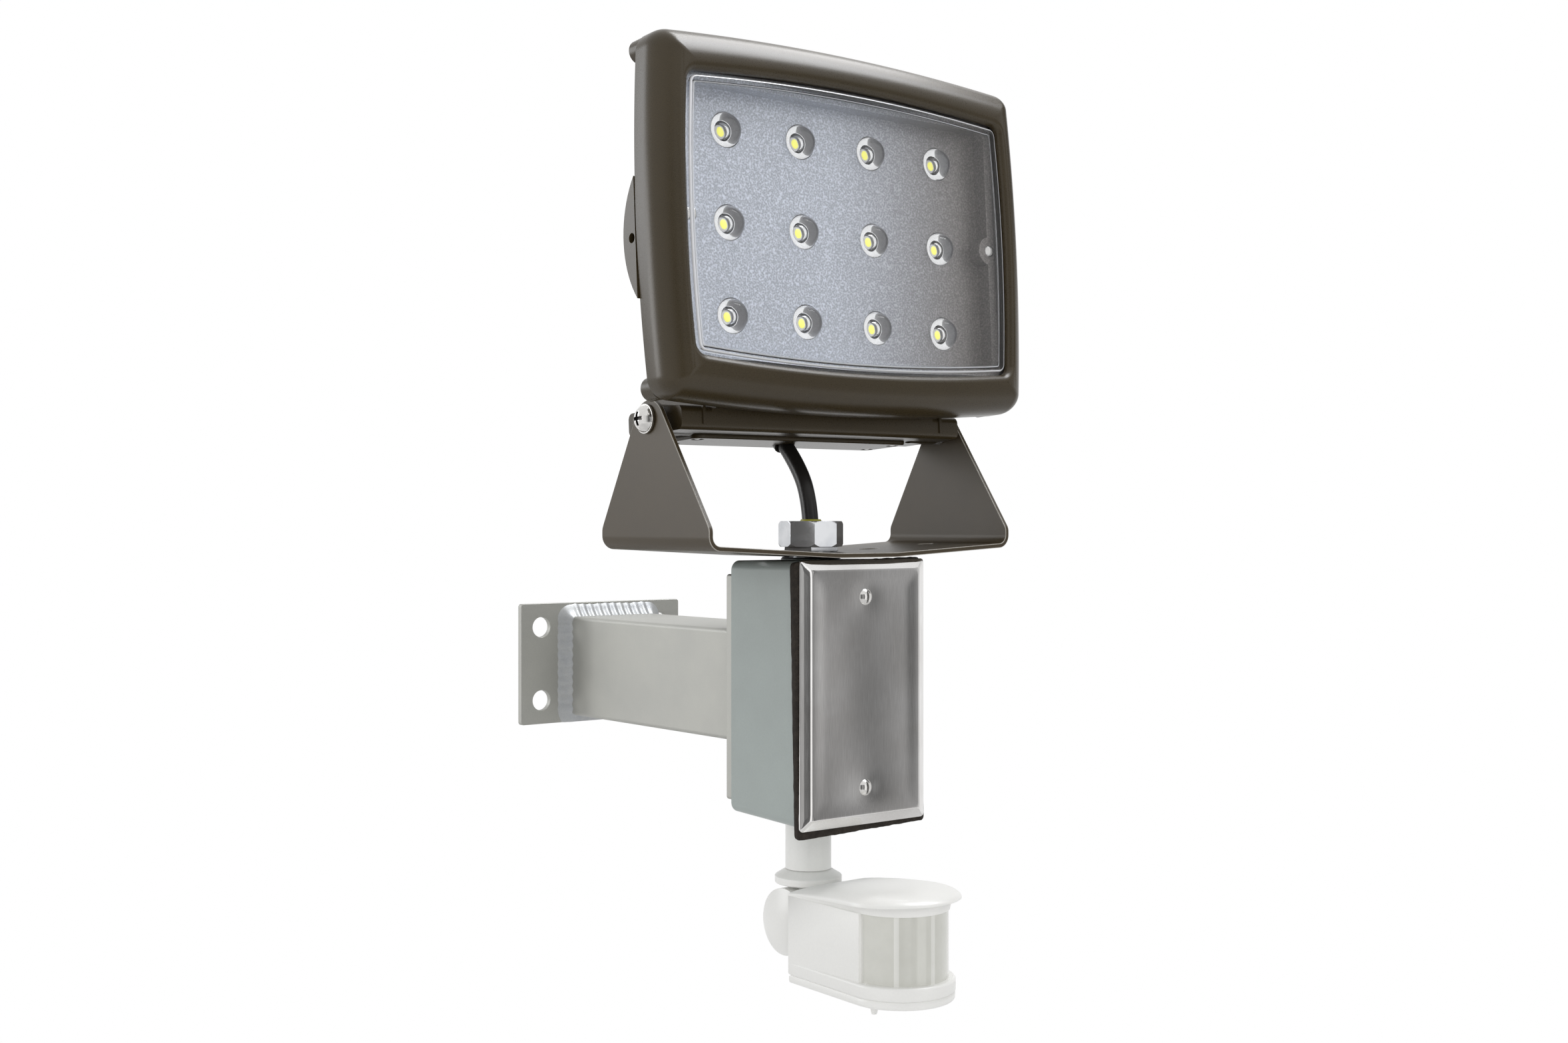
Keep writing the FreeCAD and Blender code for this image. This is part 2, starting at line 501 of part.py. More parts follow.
def yoke_strap():
    """Bent strap of the yoke before its arms are tapered: land, gentle slopes, bends and upright arms."""
    land, half = yoke_land_w / 2, yoke_w / 2
    slope, upright = math.radians(yoke_slope), math.pi / 2
    along, above = Vector(math.cos(slope), 0, math.sin(slope)), Vector(-math.sin(slope), 0, math.cos(slope))
    crease_centre = Vector(land, 0, yoke_under_z + yoke_crease_r)
    slope_start = crease_centre - above * yoke_crease_r
    bend_x = half - yoke_bend_r
    run = (bend_x - slope_start.x + yoke_bend_r * math.sin(slope)) / math.cos(slope)
    bend_centre = slope_start + along * run + above * yoke_bend_r
    top_z = pivot_z + yoke_top_r

    def on(centre, radius, angle):
        return centre + Vector(radius * math.sin(angle), 0, -radius * math.cos(angle))

    def side(inset, mirror):
        """Edges of one face of the strap, from the middle of its land up one arm."""
        crease, bend = yoke_crease_r - inset, yoke_bend_r - inset
        points = [Vector(0, 0, yoke_under_z + inset)]
        points += [on(crease_centre, crease, angle) for angle in (0, slope / 2, slope)]
        points += [on(bend_centre, bend, angle) for angle in (slope, (slope + upright) / 2, upright)]
        points.append(Vector(half - inset, 0, top_z))
        points = [Vector(mirror * p.x, p.y, p.z) for p in points]
        return [Part.LineSegment(points[0], points[1]).toShape(), Part.Arc(*points[1:4]).toShape(),
                Part.LineSegment(points[3], points[4]).toShape(), Part.Arc(*points[4:7]).toShape(),
                Part.LineSegment(points[6], points[7]).toShape()]

    edges = []
    for mirror in (-1, 1):
        edges += side(0, mirror) + side(yoke_sheet, mirror)
        tip = [Vector(mirror * x, 0, top_z) for x in (half, half - yoke_sheet)]
        edges.append(Part.LineSegment(*tip).toShape())
    face = Part.Face(Part.Wire(Part.__sortEdges__(edges)))
    return face.extrude(Y * yoke_depth).translated(Y * (hub_y - yoke_depth / 2))


def arm_side_cutter():
    """Side view of the yoke through its width: shoulders that taper to a round top about the pivot."""
    front, back = hub_y - yoke_depth / 2, hub_y + yoke_depth / 2
    shoulder_z = yoke_under_z + yoke_shoulder
    crown = Vector(0, hub_y + yoke_top_setback, pivot_z - yoke_top_drop)

    def tangent(y, side):
        """Point where a line from a shoulder corner touches the round top."""
        corner = Vector(0, y, shoulder_z)
        to_corner = corner - crown
        spread = math.acos(yoke_top_r / to_corner.Length)
        angle = math.atan2(to_corner.z, to_corner.y) + side * spread
        return crown + Vector(0, yoke_top_r * math.cos(angle), yoke_top_r * math.sin(angle))

    start, end = tangent(front, -1), tangent(back, 1)
    low = yoke_under_z - 1
    points = [end, Vector(0, back, shoulder_z), Vector(0, back, low), Vector(0, front, low),
              Vector(0, front, shoulder_z), start]
    edges = [Part.LineSegment(a, b).toShape() for a, b in zip(points, points[1:])]
    edges.append(Part.Arc(start, crown + Z * yoke_top_r, end).toShape())
    face = Part.Face(Part.Wire(Part.__sortEdges__(edges))).translated(X * (-yoke_w / 2 - 1))
    side = face.extrude(X * (yoke_w + 2))
    shoulders = [e for e in straight_edges(side, X) if abs(e.CenterOfMass.z - shoulder_z) < 1e-4]
    return side.makeFillet(yoke_shoulder_r, shoulders)


def build_yoke():
    """Yoke bracket and the cord that runs through it."""
    yoke = yoke_strap().common(arm_side_cutter())
    yoke = yoke.cut(rod(Vector(0, hub_y, yoke_under_z - 1), Z, thread_r + running_gap, yoke_sheet + 2))
    yoke = yoke.cut(rod(Vector(-yoke_w, pivot_y, pivot_z), X, pivot_hole_r, 2 * yoke_w))
    for x, r in ((slot_near_x, slot_near_r), (slot_far_x, slot_far_r)):
        for sx in (-1, 1):
            yoke = yoke.cut(rod(Vector(sx * x, hub_y, yoke_under_z - 1), Z, r, yoke_shoulder))
    save("yoke_bracket", yoke)

    cord, _ = cord_tube(cord_r)
    save("lamp_cord", cord)


def cord_tube(radius):
    """Tube along the cord's route, of straight runs joined by tangent arcs, and its length."""
    points = [Vector(0, hub_y + y, z) for y, z in cord_route]
    edges, start, length = [], points[0], 0.0
    for before, corner, after in zip(points, points[1:], points[2:]):
        arriving, leaving = (corner - before), (after - corner)
        turn = arriving.getAngle(leaving)
        shorter = min(arriving.Length, leaving.Length)
        arc_r = 0.45 * shorter / math.tan(turn / 2)
        reach = arc_r * math.tan(turn / 2)
        arriving.normalize()
        leaving.normalize()
        enter, leave = corner - arriving * reach, corner + leaving * reach
        inward = (leaving - arriving).normalize()
        middle = corner + inward * (arc_r / math.cos(turn / 2) - arc_r)
        edges += [Part.LineSegment(start, enter).toShape(), Part.Arc(enter, middle, leave).toShape()]
        length += (enter - start).Length + arc_r * turn
        print("cord arc radius %.1f" % arc_r)
        start = leave
    edges.append(Part.LineSegment(start, points[-1]).toShape())
    length += (points[-1] - start).Length
    section = Part.Wire(Part.makeCircle(radius, points[0], points[1] - points[0]))
    solid = Part.Wire(edges).makePipeShell([section], True, False)
    print("cord length %.1f, volume ratio %.4f" % (length, solid.Volume / (math.pi * radius ** 2 * length)))
    return solid, length


def lean_forward(shape):
    """Bring a shape from its true place into the frame in which the head is drawn upright."""
    lean = FreeCAD.Placement(Vector(0, pivot_y, pivot_z), FreeCAD.Rotation(X, -head_lean))
    return shape.transformed(lean.inverse().toMatrix())


def grid_places():
    """Centres of the LED grid in the plane where the lenses stand."""
    places = []
    for row in range(led_rows):
        for column in range(led_columns):
            x = (column - (led_columns - 1) / 2) * led_pitch_x
            z = mid_z + (row - (led_rows - 1) / 2) * led_pitch_z
            places.append(Vector(x, led_y, z))
    return places


def quarter_turn(steps):
    """Angles from 0 to 90 degrees in equal steps."""
    return [math.pi / 2 * i / steps for i in range(steps + 1)]


def build_bezel():
    """Bezel with its rounded front, window and lens pocket, and the screws that hold it from behind."""
    centre, window_centre = mid_z + bezel_rise, mid_z - window_drop
    front, back = led_y - bezel_front, led_y + bezel_back
    sections = [bowed_outline(bezel_sizes, bezel_corner_r, back, centre)]
    for angle in quarter_turn(8):
        inset = bezel_front_r * (1 - math.cos(angle))
        corner_r = max(bezel_corner_r - inset, bezel_sharp_r)
        y = front + bezel_front_r * (1 - math.sin(angle))
        sections.append(bowed_outline(bezel_sizes, corner_r, y, centre, inset))
    bezel = Part.makeLoft(sections, True, True)

    lips = [bowed_outline(window_sizes, window_corner_r, back, window_centre)]
    for angle in quarter_turn(4):
        spread = bezel_lip_r * (1 - math.cos(angle))
        y = front + bezel_lip_r * (1 - math.sin(angle))
        lips.append(bowed_outline(window_sizes, window_corner_r + spread, y, window_centre, -spread))
    bezel = bezel.cut(Part.makeLoft(lips, True, True))
    pocket_y, pocket_w, pocket_h = led_y - pocket_front, 2 * pocket_half_w, 2 * pocket_half_h
    bezel = bezel.cut(rounded_plate(pocket_w, pocket_h, pocket_corner_r, pocket_y, back, mid_z))
    for place in lug_places():
        hole = Vector(place.x, back - lug_screw_depth, place.z)
        bezel = bezel.cut(rod(hole, Y, lug_screw_r, lug_screw_depth))
    save_head("bezel", bezel)

    seat_y = led_y + bezel_back + lug_length
    seats = [Vector(place.x, seat_y, place.z) for place in lug_places()]
    bite = lug_length + lug_screw_depth
    screws = [screw(seat, Y, lug_screw_head_r, lug_screw_head_h, lug_screw_r, bite) for seat in seats]
    save_head("bezel_screws", screws)


def lug_places():
    """Corner screw places of the lamp head, in the upright drawing."""
    return [Vector(sx * lug_x, 0, mid_z + sz * lug_z) for sx in (-1, 1) for sz in (-1, 1)]


def build_optics():
    """Lens, gasket, reflector tray, LED optics, emitters and their board."""
    seat = led_y - pocket_front
    flange_w, flange_h = 2 * pocket_half_w - lens_margin, 2 * pocket_half_h - lens_margin
    flange_r = pocket_corner_r - lens_margin / 2
    gasket_y = seat + lens_rim_t
    rim = rounded_plate(flange_w, flange_h, flange_r, seat, gasket_y, mid_z)
    middle, raised_y = mid_z - window_drop, seat - lens_step
    hollow_y, hollow_inset = raised_y + lens_t, lens_margin + lens_t
    raised = bowed_slab(window_sizes, window_corner_r - 1, raised_y, gasket_y, middle, lens_margin)
    hollow = bowed_slab(window_sizes, window_corner_r - 2, hollow_y, gasket_y, middle, hollow_inset)
    save_head("lens", fused([rim, raised]).cut(hollow))

    opening_w, opening_h = 2 * (pocket_half_w - lens_gasket_w), 2 * (pocket_half_h - lens_gasket_w)
    gasket = rounded_plate(flange_w, flange_h, flange_r, gasket_y, gasket_y + lens_gasket_t, mid_z)
    opening = rounded_plate(opening_w, opening_h, flange_r / 2, gasket_y, gasket_y + lens_gasket_t, mid_z)
    save_head("lens_gasket", gasket.cut(opening))

    rim_y = gasket_y + lens_gasket_t
    tray_back = led_y + tray_sheet
    walls = rounded_plate(2 * tray_half_w, 2 * tray_half_h, tray_corner_r, rim_y, tray_back, mid_z)
    flange = rounded_plate(flange_w, flange_h, flange_r, rim_y, rim_y + tray_sheet, mid_z)
    bosses = [Vector(sx * tray_half_w, rim_y, mid_z) for sx in (-1, 1)]
    inside_w, inside_h = 2 * (tray_half_w - tray_sheet), 2 * (tray_half_h - tray_sheet)
    inside = rounded_plate(inside_w, inside_h, tray_corner_r - tray_sheet, rim_y, led_y, mid_z)
    for boss in bosses:
        inside = inside.cut(rod(boss, Y, tray_boss_r, led_y - rim_y))
    outer_bosses = [rod(boss, Y, tray_boss_r, tray_back - rim_y) for boss in bosses]
    tray = fused([walls, flange] + outer_bosses).cut(inside)
    for place in grid_places():
        tray = tray.cut(rod(place - Y, Y, optic_hole_r, 3 * tray_sheet))
    for boss in bosses:
        tray = tray.cut(rod(boss, Y, tray_boss_hole_r, tray_back - rim_y))
    save_head("reflector_tray", tray)

    board_y = led_y + bezel_back - board_t
    length = led_y + bezel_back - rim_y + tray_screw_bite
    tray_screws, spacers = [], []
    for boss in bosses:
        tray_screws.append(screw(boss, -Y, tray_screw_head_r, tray_screw_head_h, tray_boss_hole_r, length))
        spacer_foot = Vector(boss.x, tray_back, boss.z)
        spacers.append(tube(spacer_foot, Y, tray_spacer_r, tray_boss_hole_r, board_y + board_t - tray_back))
    save_head("tray_screws", tray_screws)
    save_head("tray_spacers", spacers)

    optic_base = board_y - chip_t
    straight = optic_base - led_y
    optics = []
    for place in grid_places():
        base = Vector(place.x, optic_base, place.z)
        sphere_r = (optic_r ** 2 + optic_rise ** 2) / (2 * optic_rise)
        dome = Part.makeSphere(sphere_r, place - Y * (optic_rise - sphere_r))
        dome = dome.common(rod(place, -Y, optic_r, optic_rise))
        stem = rod(base, -Y, optic_r, straight)
        rim_disc = rod(base, -Y, optic_rim_r, straight - tray_sheet)
        well = [(0, 0), (optic_well_r, 0), (optic_well_top_r, optic_well_h), (0, optic_well_h)]
        recess = revolve(well, base, -Y)
        optics.append(fused([dome, stem, rim_disc]).cut(recess))
    save_head("led_optics", optics)

    half = chip_w / 2
    chips = []
    for place in grid_places():
        x, z = place.x, place.z
        chips.append(block(x - half, x + half, optic_base, board_y, z - half, z + half))
    save_head("led_emitters", chips)

    board = rounded_plate(2 * board_half_w, 2 * board_half_h, board_corner_r, board_y, board_y + board_t, mid_z)
    save_head("led_board", board)


def build_rear_housing():
    """Finned rear housing with its hollow base, driver, wiring cover, bushing and pivot screws."""
    sink_y = led_y + bezel_back
    centre = mid_z + bezel_rise
    sink_sizes = (sink_half_w, sink_half_h, bezel_bow_w, bezel_bow_h)
    sink = bowed_slab(sink_sizes, bezel_corner_r - 2, sink_y, sink_y + sink_t, centre)
    sink = sink.makeChamfer(sink_t * 0.6, edges_at_y(sink, sink_y + sink_t))
    solids = [sink]

    fin_y = sink_y + sink_t
    for i in range(fin_count):
        x = (i - (fin_count - 1) / 2) * fin_pitch
        bottom, top = mid_z + fin_bottom, mid_z + fin_top
        shallow = fin_y + fin_depth - fin_arc_drop
        line = [Vector(x - fin_t / 2, fin_y - 1, bottom), Vector(x - fin_t / 2, fin_y - 1, top),
                Vector(x - fin_t / 2, shallow, top)]
        arc = Part.Arc(line[2], Vector(x - fin_t / 2, fin_y + fin_depth, (bottom + top) / 2),
                       Vector(x - fin_t / 2, shallow, bottom))
        edges = [Part.LineSegment(line[0], line[1]).toShape(), Part.LineSegment(line[1], line[2]).toShape(),
                 arc.toShape(), Part.LineSegment(Vector(x - fin_t / 2, shallow, bottom), line[0]).toShape()]
        solids.append(Part.Face(Part.Wire(edges)).extrude(X * fin_t))

    floor_z = mid_z + base_bottom
    front_y, bay_back_y, bay_top_z = led_y + base_front, led_y + bay_back, mid_z + bay_top
    base = block(-base_half_w, base_half_w, front_y, led_y + base_back, floor_z, mid_z + base_top)
    base = base.makeFillet(base_corner_r, straight_edges(base, X))
    bay = block(-bay_half_w, bay_half_w, front_y, bay_back_y, floor_z, bay_top_z)
    bay = bay.makeFillet(base_corner_r, straight_edges(bay, X))
    neck = block(-bay_half_w, bay_half_w, fin_y - 2, front_y + base_corner_r,
                 floor_z + base_wall + sink_t, bay_top_z)
    solids += [bay, base, neck]

    for sx in (-1, 1):
        rib_x = sx * base_rib_x
        rib_left, rib_right = rib_x - base_rib_w / 2, rib_x + base_rib_w / 2
        solids.append(block(rib_left, rib_right, front_y - base_rib_rise, front_y + 1,
                            floor_z + base_rib_low, floor_z + base_rib_high))
        ear_inner_x = ear_x - ear_t if sx > 0 else -ear_x
        ear_centre = Vector(ear_inner_x, led_y + ear_reach - ear_arc_r, mid_z - ear_drop)
        ear = rod(ear_centre, X, ear_arc_r, ear_t)
        keep = block(-ear_x - 1, ear_x + 1, sink_y, sink_y + ear_reach,
                     mid_z - 2 * ear_arc_r, mid_z + 2 * ear_arc_r)
        solids.append(ear.common(keep))
    solids += [rod(Vector(p.x, sink_y, p.z), Y, lug_r, lug_length) for p in lug_places()]
    housing = fused(solids)

    inner_half_w = bay_half_w - base_wall
    cavity = block(-inner_half_w, inner_half_w, front_y + base_wall, bay_back_y - base_wall,
                   floor_z + base_wall, bay_top_z - base_wall)
    access = block(-wiring_open_half_w, wiring_open_half_w, led_y + wiring_open_front, led_y + wiring_open_back,
                   floor_z - 1, floor_z + base_wall + 1)
    housing = housing.cut(cavity).cut(access)
    pivot_ends = [(Vector(sx * base_half_w, 0, 0), -X * sx) for sx in (-1, 1)]
    bosses = [rod(end, inward, pivot_boss_r, base_half_w - bay_half_w) for end, inward in pivot_ends]
    housing = fused([housing] + bosses)
    for end, inward in pivot_ends:
        housing = housing.cut(rod(end, inward, pivot_screw_r, pivot_screw_length))
    for sx in (-1, 1):
        hole = Vector(ear_x - ear_t if sx > 0 else -ear_x - 1, led_y + ear_hole_behind, mid_z - ear_drop)
        housing = housing.cut(rod(hole, X, ear_hole_r, ear_t + 1))
    for p in lug_places():
        housing = housing.cut(rod(Vector(p.x, sink_y - 1, p.z), Y, lug_screw_r, lug_length + 2))
    for sx in (-1, 1):
        tray_hole = Vector(sx * tray_half_w, sink_y - 1, mid_z)
        housing = housing.cut(rod(tray_hole, Y, tray_boss_hole_r, tray_hole_depth))
    for x, y in wiring_screw_places():
        housing = housing.cut(rod(Vector(x, y, floor_z), Z, wiring_screw_r, base_wall))

    bushing_hole = lean_forward(bushing_rod(bushing_r + bushing_fit))
    housing = housing.cut(bushing_hole)
    save_head("rear_housing", housing.removeSplitter())

    build_bay_parts(floor_z, bushing_hole)
    build_pivots()


def wiring_screw_places():
    """Across and depth positions of the four screws that hold the wiring cover."""
    rows = (wiring_open_front + wiring_screw_inset, wiring_open_back - wiring_screw_inset)
    return [(sx * wiring_screw_x, led_y + row) for sx in (-1, 1) for row in rows]


def build_bay_parts(floor_z, bushing_hole):
    """Driver inside the wiring bay, the cover under it with its screws, and the cord's bushing."""
    driver_y = led_y + base_front + base_wall
    driver_half_w = bay_half_w - base_wall - driver_side_gap
    driver_z = floor_z + base_wall + driver_floor_gap
    driver = block(-driver_half_w, driver_half_w, driver_y, driver_y + driver_d, driver_z, driver_z + driver_h)
    driver = driver.makeFillet(driver_corner_r, straight_edges(driver, Z))
    driver = driver.cut(lean_forward(bushing_rod(bushing_r + bushing_relief)))
    save_head("led_driver", driver)

    cover_top, cover_under = floor_z, floor_z - wiring_cover_t
    cover = block(-wiring_cover_half_w, wiring_cover_half_w, led_y + wiring_cover_front,
                  led_y + wiring_cover_back, cover_under, cover_top)
    cover = cover.makeFillet(wiring_cover_corner_r, straight_edges(cover, Z))
    cover = cover.makeFillet(wiring_cover_edge_r, edges_at_z(cover, cover_under))
    screws = []
    bite = wiring_cover_t - wiring_head_h + base_wall
    for x, y in wiring_screw_places():
        seat = Vector(x, y, cover_under + wiring_head_h)
        cover = cover.cut(rod(seat, Z, wiring_screw_r, wiring_cover_t))
        cover = cover.cut(rod(seat, -Z, wiring_head_r + running_gap, wiring_head_h))
        screws.append(screw(seat, -Z, wiring_head_r, wiring_head_h, wiring_screw_r, bite))
    cover = cover.cut(bushing_hole).cut(lean_forward(bushing_rod(cord_r + loose_gap, bushing_length)))
    save_head("wiring_cover", cover)
    save_head("wiring_cover_screws", screws)

    bushing = bushing_rod(bushing_r).cut(bushing_rod(cord_r + loose_gap, 2))
    save("cord_bushing", bushing)


def build_pivots():
    """Screws, washers and spacers on which the head tilts in the yoke."""
    pivot_screws, washers = [], []
    outside = yoke_w / 2 + loose_gap
    for sx in (-1, 1):
        outward = X * sx
        washer_seat = Vector(sx * outside, 0, 0)
        washers.append(tube(washer_seat, outward, pivot_washer_r, pivot_screw_r, pivot_washer_t))
        seat = Vector(sx * (outside + pivot_washer_t), 0, 0)
        one = screw(seat, outward, pivot_head_r, pivot_head_h, pivot_screw_r, pivot_screw_length)
        pivot_screws.append(one.cut(cross_recess(seat, outward, pivot_head_h, pivot_cross_w)))
    save_head("pivot_screws", pivot_screws)
    save_head("pivot_washers", washers)
    spacers = [tube(Vector(sx * base_half_w, 0, 0), X * sx, pivot_boss_r, pivot_screw_r, spacer_length)
               for sx in (-1, 1)]
    save_head("pivot_spacers", spacers)


def bushing_rod(radius, extra=0.0):
    """Rod along the cord's last run, where the bushing sits in the head's underside."""
    before, last = [Vector(0, hub_y + y, z) for y, z in cord_route[-2:]]
    along = (last - before).normalize()
    return rod(last - along * (bushing_length + extra), along, radius, bushing_length + 2 * extra)


def build_sensor_stem():
    """Threaded stem that hangs the sensor from the box."""
    under = Vector(0, stem_y, box_bottom_z)
    profile = [(stem_bore_r, stem_length), (stem_r, stem_length), (stem_r, 0), (thread_r, 0),
               (thread_r, -hub_boss_h - 1), (stem_bore_r, -hub_boss_h - 1)]
    save("sensor_stem", revolve(profile, under, -Z))


def build_knuckle():
    """Knuckle that pans under the stem: spigot, collar, neck and the barrel that the sensor tilts on."""
    top = Vector(0, stem_y, collar_top_z)
    collar_h = collar_cone_h + collar_t
    profile = [(0, 0), (stem_r, 0), (collar_r - collar_edge, collar_cone_h),
               (collar_r, collar_cone_h + collar_edge), (collar_r, collar_h - collar_edge),
               (collar_r - collar_edge, collar_h), (0, collar_h)]
    collar = revolve(profile, top, -Z)
    spigot = rod(top, Z, stem_bore_r - running_gap, knuckle_spigot_length)
    neck = rod(top, -Z, knuckle_neck_r, collar_top_z - barrel_z)
    slot = block(-barrel_half_w, barrel_half_w, stem_y - knuckle_neck_r, stem_y + knuckle_neck_r,
                 barrel_z, collar_top_z)
    barrel_end = Vector(-barrel_half_w, stem_y, barrel_z)
    barrel = rod(barrel_end, X, barrel_r, 2 * barrel_half_w)
    knuckle = fused([collar, spigot, neck.common(slot), barrel])
    knuckle = knuckle.cut(rod(barrel_end, X, tilt_screw_r + running_gap, 2 * barrel_half_w))
    wire_floor = barrel_z + tilt_screw_r + knuckle_wire_r / 2
    wire_way = rod(Vector(0, stem_y, wire_floor), Z, knuckle_wire_r, box_bottom_z - wire_floor)
    save("sensor_knuckle", knuckle.cut(wire_way))


def d_outline(half_w, radius, z, rear_y, arc_y):
    """Closed outline of the sensor at height z: square at the rear and round in front."""
    left_rear, left_front = Vector(-half_w, rear_y, z), Vector(-radius, arc_y, z)
    right_front, right_rear = Vector(radius, arc_y, z), Vector(half_w, rear_y, z)
    front = Part.Arc(left_front, Vector(0, arc_y - radius, z), right_front)
    left, right = Part.LineSegment(left_rear, left_front), Part.LineSegment(right_front, right_rear)
    rear = Part.LineSegment(right_rear, left_rear)
    return Part.Wire([side.toShape() for side in (left, front, right, rear)])


def d_slab(half_w, radius, z0, z1, rear_y, arc_y):
    """Slab of the sensor's plan between two heights."""
    return Part.Face(d_outline(half_w, radius, z0, rear_y, arc_y)).extrude(Z * (z1 - z0))


def build_sensor_case(rear, arc):
    """Case of the sensor with the two cheeks that hold its tilt screw."""
    walls = block(-case_half_w, case_half_w, arc, rear, case_seam, case_window_top)
    inside_x = case_half_w - case_wall
    walls = walls.cut(block(-inside_x, inside_x, arc - 1, rear - case_wall, case_seam, case_window_top))
    ring = d_slab(case_half_w, ring_r, case_seam, case_ring_top, rear, arc)
    round_edges = [e for e in edges_at_z(ring, case_ring_top) if e.CenterOfMass.y < arc]
    ring = ring.makeFillet(ring_edge_r, round_edges)
    inside_r = lens_r - lens_wall - running_gap
    ring = ring.cut(d_slab(inside_x, inside_r, case_seam, case_ring_top, rear - case_wall, arc))
    pieces = [walls, ring]
    cheek_x = barrel_half_w + loose_gap
    for sx in (-1, 1):
        start = Vector(sx * cheek_x, stem_y, barrel_z)
        dome_seat = start + X * sx * cheek_t
        low_x, high_x = sorted((sx * cheek_x, sx * (cheek_x + cheek_t)))
        web = block(low_x, high_x, rear - case_wall / 2, stem_y,
                    barrel_z - cheek_web_h / 2, barrel_z + cheek_web_h / 2)
        disc = rod(start, X * sx, cheek_r, cheek_t)
        pieces += [disc, pan_head(dome_seat, X * sx, cheek_r, cheek_dome), web]
    case = pieces[0].multiFuse(pieces[1:])
    far_x = cheek_x + cheek_t
    case = case.cut(rod(Vector(-far_x, stem_y, barrel_z), X, tilt_screw_r, 2 * far_x + cheek_dome))
    seat = Vector(far_x, stem_y, barrel_z)
    case = case.cut(rod(seat, X, tilt_head_r + running_gap, cheek_dome))
    save("sensor_case", case)
    save("tilt_screw", screw(seat, X, tilt_head_r, tilt_head_h, tilt_screw_r, 2 * far_x))


def build_sensor_head():
    """Sensor head: case, cap, lens, base, boards, detector and dials."""
    rear = stem_y - case_gap
    arc = rear - case_length
    build_sensor_case(rear, arc)

    lower = d_outline(case_half_w, lens_r + cap_overhang, case_window_top, rear, arc)
    middle = d_outline(case_half_w, cap_r, cap_rim_under, rear, arc)
    skirt = Part.makeLoft([lower, middle], True, True)
    band = d_slab(case_half_w, cap_r, cap_rim_under, cap_peak, rear, arc)
    outside = fused([skirt, band])
    rear_low = Vector(0, rear, cap_rear_top)
    front_low = Vector(0, arc - cap_r, cap_front_top)
    front_under = Vector(0, arc - cap_r, case_window_top)
    profile = [Vector(0, rear, case_window_top), rear_low, front_low, front_under]
    wedge = prism(profile, X * 2 * case_length).translated(X * -case_length)
    peak = Vector(0, rear - cap_peak_ahead, cap_peak - cap_dome_r)
    dome = Part.makeSphere(cap_dome_r, peak)
    relief = rod(Vector(0, stem_y, collar_under_z - loose_gap), Z, collar_r + loose_gap, 2 * collar_t)
    save("sensor_cap", fused([outside.common(wedge), outside.common(dome)]).cut(relief))

    inner_r = lens_r - lens_wall
    lens_outer = d_slab(lens_r, lens_r, case_ring_top, case_window_top, arc + 1, arc)
    lens_inner = d_slab(inner_r, inner_r, case_ring_top, case_window_top, arc + 1, arc)
    ahead = block(-lens_r, lens_r, arc - lens_r, arc, case_ring_top, case_window_top)
    lens = lens_outer.cut(lens_inner).common(ahead)
    save("fresnel_lens", lens)

    base = d_slab(case_half_w - base_inset, ring_r - base_inset, case_bottom, case_seam, rear - base_inset, arc)
    low_edges = [e for e in edges_at_z(base, case_bottom) if e.CenterOfMass.y < rear - base_edge_r]
    base = base.makeFillet(base_edge_r, low_edges)
    dial_places = [Vector(sx * dial_x, rear - dial_ahead, case_bottom) for sx in (-1, 1)]
    for place in dial_places:
        base = base.cut(rod(place, Z, dial_r + running_gap, dial_sunk + dial_knob_t + 0.2))
        base = base.cut(rod(place, Z, dial_shaft_r + running_gap, case_seam - case_bottom))

    board_half = inner_r - 2 * loose_gap
    board_top = board_floor + sensor_board_t
    board = block(-board_half, board_half, arc + case_wall + loose_gap, rear - case_wall, board_floor, board_top)
    save("sensor_board", board)
    stand_y = arc + case_wall + detector_behind_lens
    stand = block(-detector_stand_half_w, detector_stand_half_w, stand_y, stand_y + detector_stand_t,
                  board_top, detector_z + detector_stand_above)
    save("detector_board", stand)
    detector = rod(Vector(0, stand_y, detector_z), -Y, detector_r, detector_length)
    save("detector_can", detector)
    pots = []
    half = pot_w / 2
    pot_bottom = board_floor - pot_h
    for place in dial_places:
        x, y = place.x, place.y
        pots.append(block(x - half, x + half, y - half, y + half, pot_bottom, board_floor))
    save("potentiometers", pots)

    seats = [Vector(sx * base_screw_x, rear - base_screw_ahead, case_bottom) for sx in (-1, 1)]
    for seat in seats:
        base = base.cut(rod(seat, Z, base_screw_r, case_seam - case_bottom))
    save("base_screws", [screw(s, -Z, 2 * base_screw_r, base_screw_r, base_screw_r, case_seam - case_bottom)
                         for s in seats])
    save("sensor_base", base)

    for name, place in zip(("time_dial", "light_dial"), dial_places):
        foot = place + Z * dial_sunk
        knob = rod(foot, Z, dial_r, dial_knob_t)
        shaft = rod(foot, Z, dial_shaft_r, pot_bottom - loose_gap - foot.z)
        left = place - X * dial_tab_w / 2
        root, end = dial_r - dial_tab_margin, dial_tab_end_w / 2
        tip = [left + Vector(0, -root, 2 * dial_sunk), left + Vector(0, root, 2 * dial_sunk),
               left + Vector(0, end, -dial_tab_h), left + Vector(0, -end, -dial_tab_h)]
        save(name, fused([knob, shaft, prism(tip, X * dial_tab_w)]))


def main():
    """Build every piece and write it as its own file."""
    os.makedirs("parts", exist_ok=True)
    build_wall_arm()
    build_box()
    build_connector()
    build_yoke()
    build_bezel()
    build_optics()
    build_rear_housing()
    build_sensor_stem()
    build_knuckle()
    build_sensor_head()


main()
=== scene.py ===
"""Dressed scene of a wall-mounted LED floodlight with a motion sensor.

Lengths are millimetres, apart from the studio's, which are metres. The outlet box, yoke and sensor are drawn
about the centre line of the arm, and the lamp head about the middle of its LED grid before it is leaned back
into the yoke.
"""

